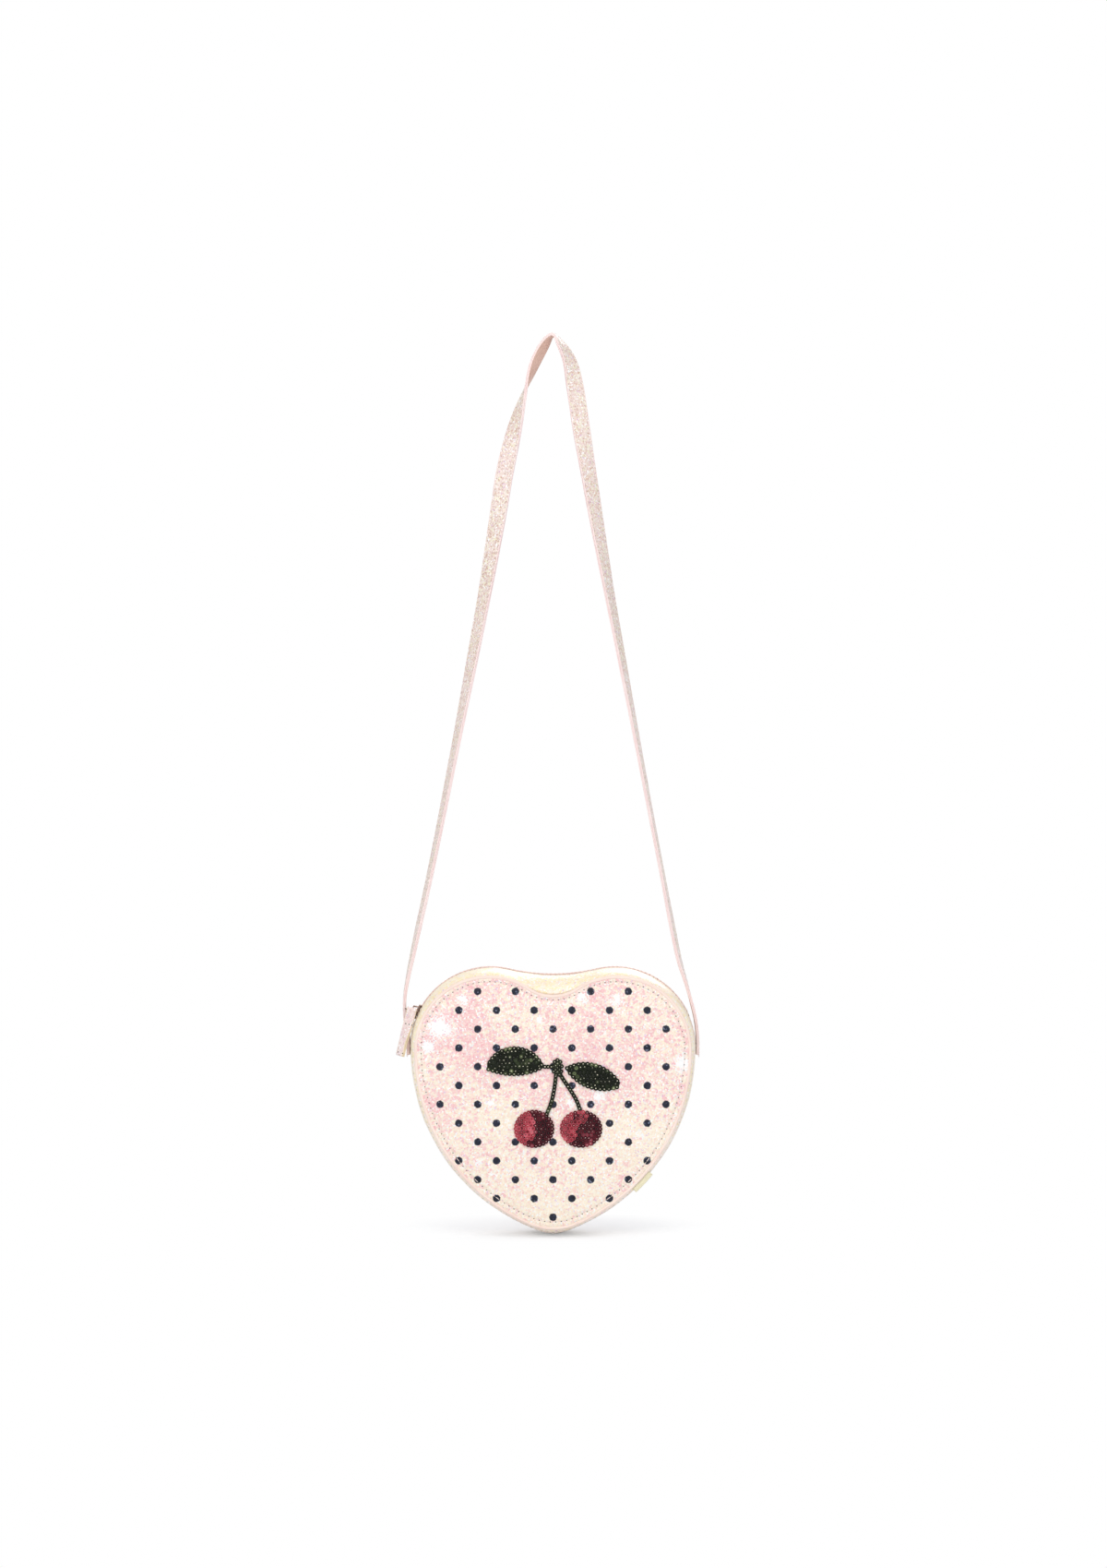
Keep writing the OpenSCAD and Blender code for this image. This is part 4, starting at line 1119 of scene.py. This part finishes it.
def make_tab():
    """A leather strip folded round the far bar of the ring, sewn to itself and twisted."""
    loop_r = WIRE_D / 2 + SLIDER_PLAY + TAB_T / 2
    close = 3 * (loop_r + TAB_T / 2)
    lie = TAB_T / 2
    half = [(lie, -z) for z in (TAB_L, 24, 20, 16, 12, 9, close + 1.5, close)]
    half += [on_arc(0, 0, loop_r, a) for a in range(-20, 91, 14)]
    line = smooth_line(half + [(-y, z) for y, z in reversed(half)], 1)
    w, t, r = TAB_W / 2, TAB_T / 2 - 0.02, 0.28
    section = [(-w + r, t), (-w * 0.5, t + 0.03), (0, t + 0.04), (w * 0.5, t + 0.03), (w - r, t),
               (w - 0.08, t - 0.08), (w, t - r), (w, r - t), (w - 0.08, 0.08 - t), (w - r, -t),
               (-w + r, -t), (-w + 0.08, 0.08 - t), (-w, r - t), (-w, t - r), (-w + 0.08, t - 0.08)]

    def place(i, u, v):
        d = direction_at(line, i)
        return tab_point(u, line[i][0] + d.y * v, line[i][1] - d.x * v)

    swept("pull_tab_leather", lengths(line), section, place, "tab_glitter raw_edge", "tab",
          "pull_tab", "glitter_leatherette", second=(*range(4, 9), *range(10, 15)))
    for label, z in (("top", -8.5), ("end", -TAB_L + 2)):
        path = [tab_point(u, -2 * lie - 0.04, z) for u in steps(-w + 0.9, w - 0.9, 6)]
        out = Vector(tab_point(0, -2, z)) - Vector(tab_point(0, -1, z))
        sew("pull_tab_stitches_" + label, path, [tuple(out)] * len(path), "tab", pitch=1.6, thread=0.15)


# Strap

def catmull(a, b, c, d, t):
    return 0.5 * (2 * b + (c - a) * t + (2 * a - 5 * b + 4 * c - d) * t * t
                  + (3 * b - a - 3 * c + d) * t * t * t)


def strap_line():
    """Centre points (x, z, twist) along the strap, from its left end to its right."""
    n = len(STRAP_ROUTE)
    line = []
    for i in range((n - 1) * STRAP_STEPS + 1):
        k = min(i // STRAP_STEPS, n - 2)
        rows = [STRAP_ROUTE[max(0, min(n - 1, k + j))] for j in (-1, 0, 1, 2)]
        x, z, twist = (catmull(*column, i / STRAP_STEPS - k) for column in zip(*rows))
        line.append((x * HALF_SPAN, SWING_Z + z * STRAP_RISE, math.radians(twist)))
    return line


STRAP = strap_line()


def strap_point(i, u, v):
    """A point of the strap: u across it, v out from the seam between its two layers."""
    d = direction_at(STRAP, i)
    x, z, twist = STRAP[i]
    out = u * math.sin(twist) + v * math.cos(twist)
    return x - d.y * out, u * math.cos(twist) - v * math.sin(twist), z + d.x * out


def hinge_blend(made):
    """Bakes a strap piece's placement into its mesh."""
    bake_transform(made)


def make_strap():
    w, t, b = STRAP_W / 2, STRAP_FACE_T, STRAP_BACK_T
    half = [(w - 0.35, t), (w - 0.9, t + 0.02), (w - STRAP_SEAM_IN, t - 0.12),
            (w - 1.7, t + 0.02), (w * 0.4, t + 0.05)]
    face = half + [(0, t + 0.06)] + [(-u, v) for u, v in reversed(half)] + [
        (0.12 - w, t - 0.1), (-w, t - 0.3), (-w, 0), (w, 0), (w, t - 0.3), (w - 0.12, t - 0.1)]
    back = [(w, 0), (-w, 0), (-w, 0.3 - b), (0.12 - w, 0.1 - b), (0.35 - w, -b),
            (0, -b - 0.03), (w - 0.35, -b), (w - 0.12, 0.1 - b), (w, 0.3 - b)]
    run = lengths([(x, z) for x, z, _ in STRAP])
    hinge_blend(swept("strap_glitter_layer", run, face, strap_point, "strap_glitter edge_paint",
                      None, "strap_face", "glitter_leatherette", second=range(10, 17)))
    hinge_blend(swept("strap_tan_layer", run, back, strap_point, "strap_tan edge_paint",
                      None, "strap_backing", "strap_backing", second=(0, 1, 2, 7, 8)))
    stations = range(len(STRAP))
    out = [tuple(q - p for p, q in zip(strap_point(i, 0, 0), strap_point(i, 0, 1))) for i in stations]
    for side, label in reversed(SIDES):
        path = [strap_point(i, side * (w - STRAP_SEAM_IN), t - 0.06) for i in stations]
        hinge_blend(sew("strap_stitches_" + label, path, out, None, pitch=3.4, thread=0.17,
                        hole="strap_hole"))
    corners = [(-3.6, 107.3), (3.6, 107.3), (3.6, 113.5), (-3.6, 113.5)]
    square = []
    for a, c in zip(corners, corners[1:] + corners[:1]):
        square += list(zip(steps(a[0], c[0], 6), steps(a[1], c[1], 6)))[:-1]
    for side, label in ((-1, "left"), (1, "right")):
        path = [(side * (HALF_SPAN + t + 0.02), y, z) for y, z in square]
        hinge_blend(sew("strap_end_stitches_" + label, path, [(side, 0, 0)] * len(path), None,
                        cyclic=True, pitch=2.4))


# Side label

def make_label():
    """A bare satin ribbon, folded once and caught in the seam."""
    side_x = PANEL[0] + PANEL[2] - PANEL[3]
    y0 = -EDGE_Y - LAYER_GAP - LABEL_T / 2
    half_a = math.degrees(LABEL_L / 2 / PANEL[3])
    t, film, n = LABEL_T / 2, 0.4, 14
    outer = [(0.05, t), (1.2, t * 0.92), (LABEL_H - t, t)]
    outer += [(LABEL_H - t + t * math.sin(math.radians(a)), t * math.cos(math.radians(a)))
              for a in range(30, 151, 30)] + [(r, -y) for r, y in reversed(outer)]
    section = outer + [(r if r < 1 else r - film * 0.6, y * (t - film) / t) for r, y in reversed(outer)]
    angles = steps(LABEL_A - half_a, LABEL_A + half_a, n)

    def place(i, r, y):
        flare = 0.1 * math.sin(i * 0.7) * r / LABEL_H
        x, z = on_arc(side_x, LOBE_Z, PANEL[3] + r, 90 - angles[i])
        return x, y0 + y + flare, z

    made = swept("side_label_ribbon", steps(0, LABEL_L, n), section, place, "ribbon", "bag",
                 "side_label", "label_ribbon", around=lengths(section))


# Sequin motif

def leaf_edges(x, up, down):
    """Upper and lower edge of a leaf at x from its stem: two bows that end at a blunt tip."""
    top, low = ((LEAF_L * LEAF_L / 4 + bow * bow) / (2 * bow) for bow in (up, down))
    apart = LEAF_TIP * (x / LEAF_L) ** 4
    along = (x - LEAF_L / 2) ** 2
    return (up - top + math.sqrt(max(0, top ** 2 - along)) + apart,
            low - down - math.sqrt(max(0, low ** 2 - along)) - apart)


def edge_row(outline, margin, gap):
    """Evenly spaced points along an outline, moved inwards by a margin."""
    n = len(outline)
    area = sum(a[0] * b[1] - b[0] * a[1] for a, b in zip(outline, outline[1:] + outline[:1]))
    turn = 1 if area > 0 else -1
    picked = []
    for i, p in enumerate(outline):
        d = direction(outline[i - 1], outline[(i + 1) % n])
        q = (p[0] - d.y * margin * turn, p[1] + d.x * margin * turn)
        if distance_inside(q, outline) > margin * 0.8 and all(
                math.dist(q, o[0]) > gap for o in picked[-60:]):
            picked.append((q, (d.x, d.y)))
    return picked


def filled(outline, rng):
    """Sequins of one shape: two rows along its edge, then staggered rows inside."""
    row = edge_row(outline, EDGE_IN, EDGE_STEP)
    second = edge_row(outline, SECOND_IN, SECOND_STEP)
    picked = [(q, d, 0.4 + 0.5 * rng.random()) for q, d in row]
    picked += [(q, d, 0.8 * rng.random() ** 2) for q, d in second
               if all(math.dist(q, r[0]) > SECOND_CLEAR for r in row)]
    xs, zs = zip(*outline)
    z, odd = min(zs), 0
    while z < max(zs):
        x = min(xs) + odd * SEQUIN_STEP / 2
        while x < max(xs):
            q = (x + rng.uniform(-STRAY, STRAY), z + rng.uniform(-STRAY, STRAY))
            if distance_inside(q, outline) > INNER_IN and all(
                    math.dist(q, r[0]) > INNER_CLEAR for r in picked):
                picked.append((q, (1, 0), 0.8 * rng.random() ** 2))
            x += SEQUIN_STEP
        z += ROW_STEP
        odd = 1 - odd
    return picked


def laid(picked, face, rng):
    """Places for sequins: each leans on the next one of its row."""
    places = []
    for (x, z), (dx, dz), knot in picked:
        p = on_face(face, x, z)
        lean = SEQUIN_LEAN + rng.uniform(-LEAN_SPREAD, LEAN_SPREAD)
        out = Vector((-dx * lean + rng.uniform(-TILT_SPREAD, TILT_SPREAD), -1,
                      -dz * lean + rng.uniform(-TILT_SPREAD, TILT_SPREAD)))
        lift = FELT_LIFT + rng.uniform(0, LIFT_SPREAD)
        # Each sequin's tone: random with smooth patches; its light values are painted glints off tilted
        # sequins.
        shade = 0.05 + 0.8 * rng.random() + 0.6 * wobble(x, 0, z, 9, 4)
        places.append(((p.x, p.y - lift, p.z), tuple(out.normalized()), shade, knot))
    return places


def spaced(line, gap):
    """Points and directions along a line, a gap apart."""
    run = lengths(line)
    picked = []
    for i in range(len(line) - 1):
        if run[i + 1] >= gap * (len(picked) + 0.3):
            d = Vector(line[i + 1]) - Vector(line[i])
            picked.append((line[i], tuple(d.normalized())))
    return picked


def is_lit(p, label):
    """True on the part of a cherry that is sewn with bright sequins."""
    middle_x, middle_z = CHERRIES[label]
    return any(math.dist(p, (middle_x + x, middle_z + z)) < r for x, z, r in BRIGHT[label])


def make_felt(name, rows, face, material, ring=False):
    """The felt that carries a motif's sequins, over rows of (x, z) points."""
    places, faces = grid(rows, ring=ring)
    points = [on_face(face, x, z) for x, z in places]
    if ring:
        faces.append(tuple(range(len(points) - len(rows[0]), len(points))))
    made = add_piece(name, [(p.x, p.y - FELT_LIFT, p.z) for p in points], faces, material, "bag")
    if made.data.polygons[0].normal.y > 0:
        made.data.flip_normals()
    thicken(made, FELT_T)


def left_leaf_place(x, z):
    return KNOT[0] - KNOT_R - LEAF_GAP - x, KNOT[1] + z


def right_leaf_place(x, z):
    a = math.radians(LEAF_TURN)
    return (KNOT[0] + KNOT_R + x * math.cos(a) - z * math.sin(a),
            KNOT[1] + x * math.sin(a) + z * math.cos(a))


def knot_point(r, degrees):
    x, z = on_arc(0, 0, r, degrees)
    return KNOT[0] + KNOT_WIDE * x, KNOT[1] + KNOT_HIGH * z


def make_leaf(label, place, face, rng):
    up, down = (share * LEAF_L for share in LEAF_BOWS[label])
    outline = [place(x, leaf_edges(x, up, down)[0]) for x in steps(0, LEAF_L, 40)]
    outline += [place(x, leaf_edges(x, up, down)[1]) for x in steps(LEAF_L, 0, 40)[:-1]]
    sprinkle(label + "_leaf_sequins", laid(filled(outline, rng), face, rng), "olive_knots",
             label + "_leaf", "leaf_sequins")
    rows = []
    for x in steps(0.5, LEAF_L - 0.5, 26):
        z1, z0 = leaf_edges(x, up, down)
        rows.append([place(x, z) for z in steps(min(-0.05, z0 + 0.35), max(0.05, z1 - 0.35), 8)])
    make_felt(label + "_leaf_felt", rows, face, "leaf_felt")


def make_cherry(label, face, rng):
    wide, flat = CHERRY_SHAPES[label]
    middle_x, middle_z = CHERRIES[label]
    edge = [on_arc(0, 0, CHERRY_R + wide, a) for a in range(0, 360, 6)]
    sewn = filled([(middle_x + x, middle_z + CHERRY_LIFT + flat * z) for x, z in edge], rng)
    for bright, word, part, slot in ((True, "_bright", "_lit", "red_sequins"),
                                     (False, "_dark", "_shade", "maroon_sequins")):
        chosen = [place for place in sewn if is_lit(place[0], label) == bright]
        sprinkle(label + "_cherry" + word + "_sequins", laid(chosen, face, rng), "rose_knots",
                 label + "_cherry" + part, slot)
    rows = [[on_arc(middle_x, middle_z, r, a) for a in range(0, 360, 10)]
            for r in (CHERRY_R - 0.8, 9, 6.5, 4, 1.5)]
    make_felt(label + "_cherry_felt", rows, face, "cherry_felt", ring=True)


def make_stems(face, rng):
    picked = []
    for label, points in STEMS.items():
        line = smooth_line(points, 5)
        picked += [(q, d, 0.3 + 0.5 * rng.random()) for q, d in spaced(line, 2.1)]
        rows = []
        for a, b in zip(line[::3], line[1::3]):
            d = direction(a, b)
            rows.append([(a[0] - d.y * u, a[1] + d.x * u) for u in (-STEM_HALF_W, 0, STEM_HALF_W)])
        make_felt(label + "_stem_felt", rows, face, "leaf_felt")
    for r, count in ((0, 1), (1.9, 6), (3.4, 9)):
        picked += [(knot_point(r, 360 * i / count + 90), (1, 0), 0.3 + 0.5 * rng.random())
                   for i in range(count)]
    picked += [((KNOT[0] - KNOT_R - x, KNOT[1] + 0.5), (1, 0), 0.9) for x in (-0.4, 1.5, 3.4)]
    sprinkle("stem_sequins", laid(picked, face, rng), "olive_knots", "cherry_stems", "leaf_sequins")
    rows = [[knot_point(r, a) for a in range(0, 360, 15)] for r in (3.2, 1.6)]
    make_felt("knot_felt", rows, face, "leaf_felt", ring=True)


def make_motif(face):
    rng = random.Random(11)
    make_leaf("left", left_leaf_place, face, rng)
    make_leaf("right", right_leaf_place, face, rng)
    for label in CHERRIES:
        make_cherry(label, face, rng)
    make_stems(face, rng)


# The whole bag

def finish_cad(key, *nodes):
    """Gives CAD nodes whose shape is right their real finish."""
    for node in nodes:
        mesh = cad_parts[node].data
        mesh.materials.clear()
        mesh.materials.append(MATERIALS[key])


bpy.context.scene.view_settings.view_transform = "Standard"
PINK_FLAKES = [(0.0, "#f3b9bf"), (0.45, "#f7cdcd"), (0.8, "#fbded9"), (1.0, "#fdf0ea")]
CREAM_FLAKES = [(0.0, "#f8e2d2"), (0.4, "#fcefda"), (0.8, "#fdf5e4"), (1.0, "#fffaf2")]
GUSSET_FLAKES = [(0.0, "#fae5d2"), (0.5, "#fdf0e0"), (1.0, "#fff7ec")]
BUTTER_FLAKES = [(0.0, "#fbe9bc"), (0.5, "#fdf1cc"), (1.0, "#fff8e2")]
STRAP_FLAKES = [(0.0, "#dfc4bd"), (0.5, "#ecd9d3"), (1.0, "#f7ebe6")]
TAB_FLAKES = [(0.0, "#edcfd2"), (0.5, "#f5e0e0"), (1.0, "#fbeeec")]
STRAP_SPECKS = [(0.0, "#d2b09c"), (0.45, "#ead8d6"), (0.8, "#eeeacb"), (1.0, "#f8f4e6")]
MATERIALS = {
    "dotted": glittered("glitter_leatherette_printed_dots", PINK_FLAKES, CREAM_FLAKES, 0.34,
                        0.2, dotted=True),
    "pink": glittered("glitter_leatherette_pale_pink", PINK_FLAKES, CREAM_FLAKES, 0.36, 0.16),
    "strap_glitter": glittered("glitter_leatherette_strap", STRAP_SPECKS, STRAP_FLAKES, 0.5,
                               coordinates="UV"),
    "tab_glitter": glittered("glitter_leatherette_tab", STRAP_FLAKES, TAB_FLAKES, 0.4,
                             coordinates="UV"),
    "cream": glittered("glitter_leatherette_cream", BUTTER_FLAKES, GUSSET_FLAKES, 0.3, 0.25,
                       tilt=0.2),
    "trim": grained("pu_leatherette_pale_pink", "#f9dfd4", "#fdece1"),
    "strap_tan": grained("pu_leatherette_tan", "#d9ae9b", "#e8c5b4", coordinates="UV"),
    "raw_edge": grained("pu_leatherette_cream_edge", "#f0dfc2", "#faedd6"),
    "edge_paint": grained("acrylic_edge_paint_pink", "#f7dcda", "#fce8e6", 0.55),
    "lining": woven("woven_polyester_lining", "#e6cfc6", "#f6e4dc", 0.6 * MM),
    "tape": woven("woven_zip_tape", "#e9cfc8", "#fae3dc", 0.7 * MM),
    "zip_teeth": moulded("moulded_acetal_pink", "#f2d6ce", "#fae6df"),
    "zip_metal": plated("zinc_plated_dark_bronze", "#6d5650", "#a8948a"),
    "ribbon": woven("satin_ribbon_cream", "#eae0b4", "#faf4d8", 0.45 * MM, 0.45),
    # Sequin films: stops of each sequin's tone, whose lightest are painted glints, then the colour of
    # the painted highlight at the rim.
    "leaf_sequins": spangled("pet_film_sequins_bottle_green", [
        (0.0, "#040603"), (0.55, "#0e140a"), (0.8, "#2b3520"), (1.0, "#74805a")], "#2a3120"),
    "red_sequins": spangled("pet_film_sequins_red", [
        (0.0, "#6f1020"), (0.5, "#a22737"), (0.8, "#bb4351"), (1.0, "#dc7380")], "#d2727e"),
    "maroon_sequins": spangled("pet_film_sequins_maroon", [
        (0.0, "#120105"), (0.6, "#31060e"), (0.85, "#5c1824"), (1.0, "#93404d")], "#7a303d"),
    "leaf_felt": felted("needled_felt_black_green", "#0b0e08", "#191f12"),
    "cherry_felt": felted("needled_felt_dark_red", "#16040a", "#2c0a12"),
    "olive_knots": knotted("polyester_thread_olive", "#20241a", "#efeccf"),
    "rose_knots": knotted("polyester_thread_rose", "#35090f", "#dfa5a5"),
    "thread": spun("polyester_thread_pink", "#f3dcd6", "#fdf0eb"),
    "strap_hole": spun("strap_needle_hole_shade", "#c7a99f", "#dcc2b9"),
    "needle_hole": spun("needle_hole_shade", "#443f33", "#5c5648"),
    "board": foamed("eva_foam_board", "#dddcd6", "#f1f0ec"),
}
TREES = {"stitch": stitch_tree(), "sequin": sequin_tree()}

set_camera()
light_scene()
lay_floor()
make_strap()
front_face = make_panel(-1, "front", 1.3, PANEL_DROP, "dotted")
back_face = make_panel(1, "back", 0.5, 0, "pink")
for side, label in SIDES:
    make_binding(side, label)
sew_panel(-1, "front", front_face)
sew_panel(1, "back", back_face)
make_gusset()
make_zip_bands()
make_end_patches()
make_cloths()
make_label()
make_motif(front_face)
make_slider()
make_ring()
make_tab()
finish_cad("board", "front_stiffener", "back_stiffener")
finish_cad("zip_teeth", "front_zip_teeth", "back_zip_teeth")
finish_cad("zip_metal", "zip_top_stops", "zip_bottom_stop")
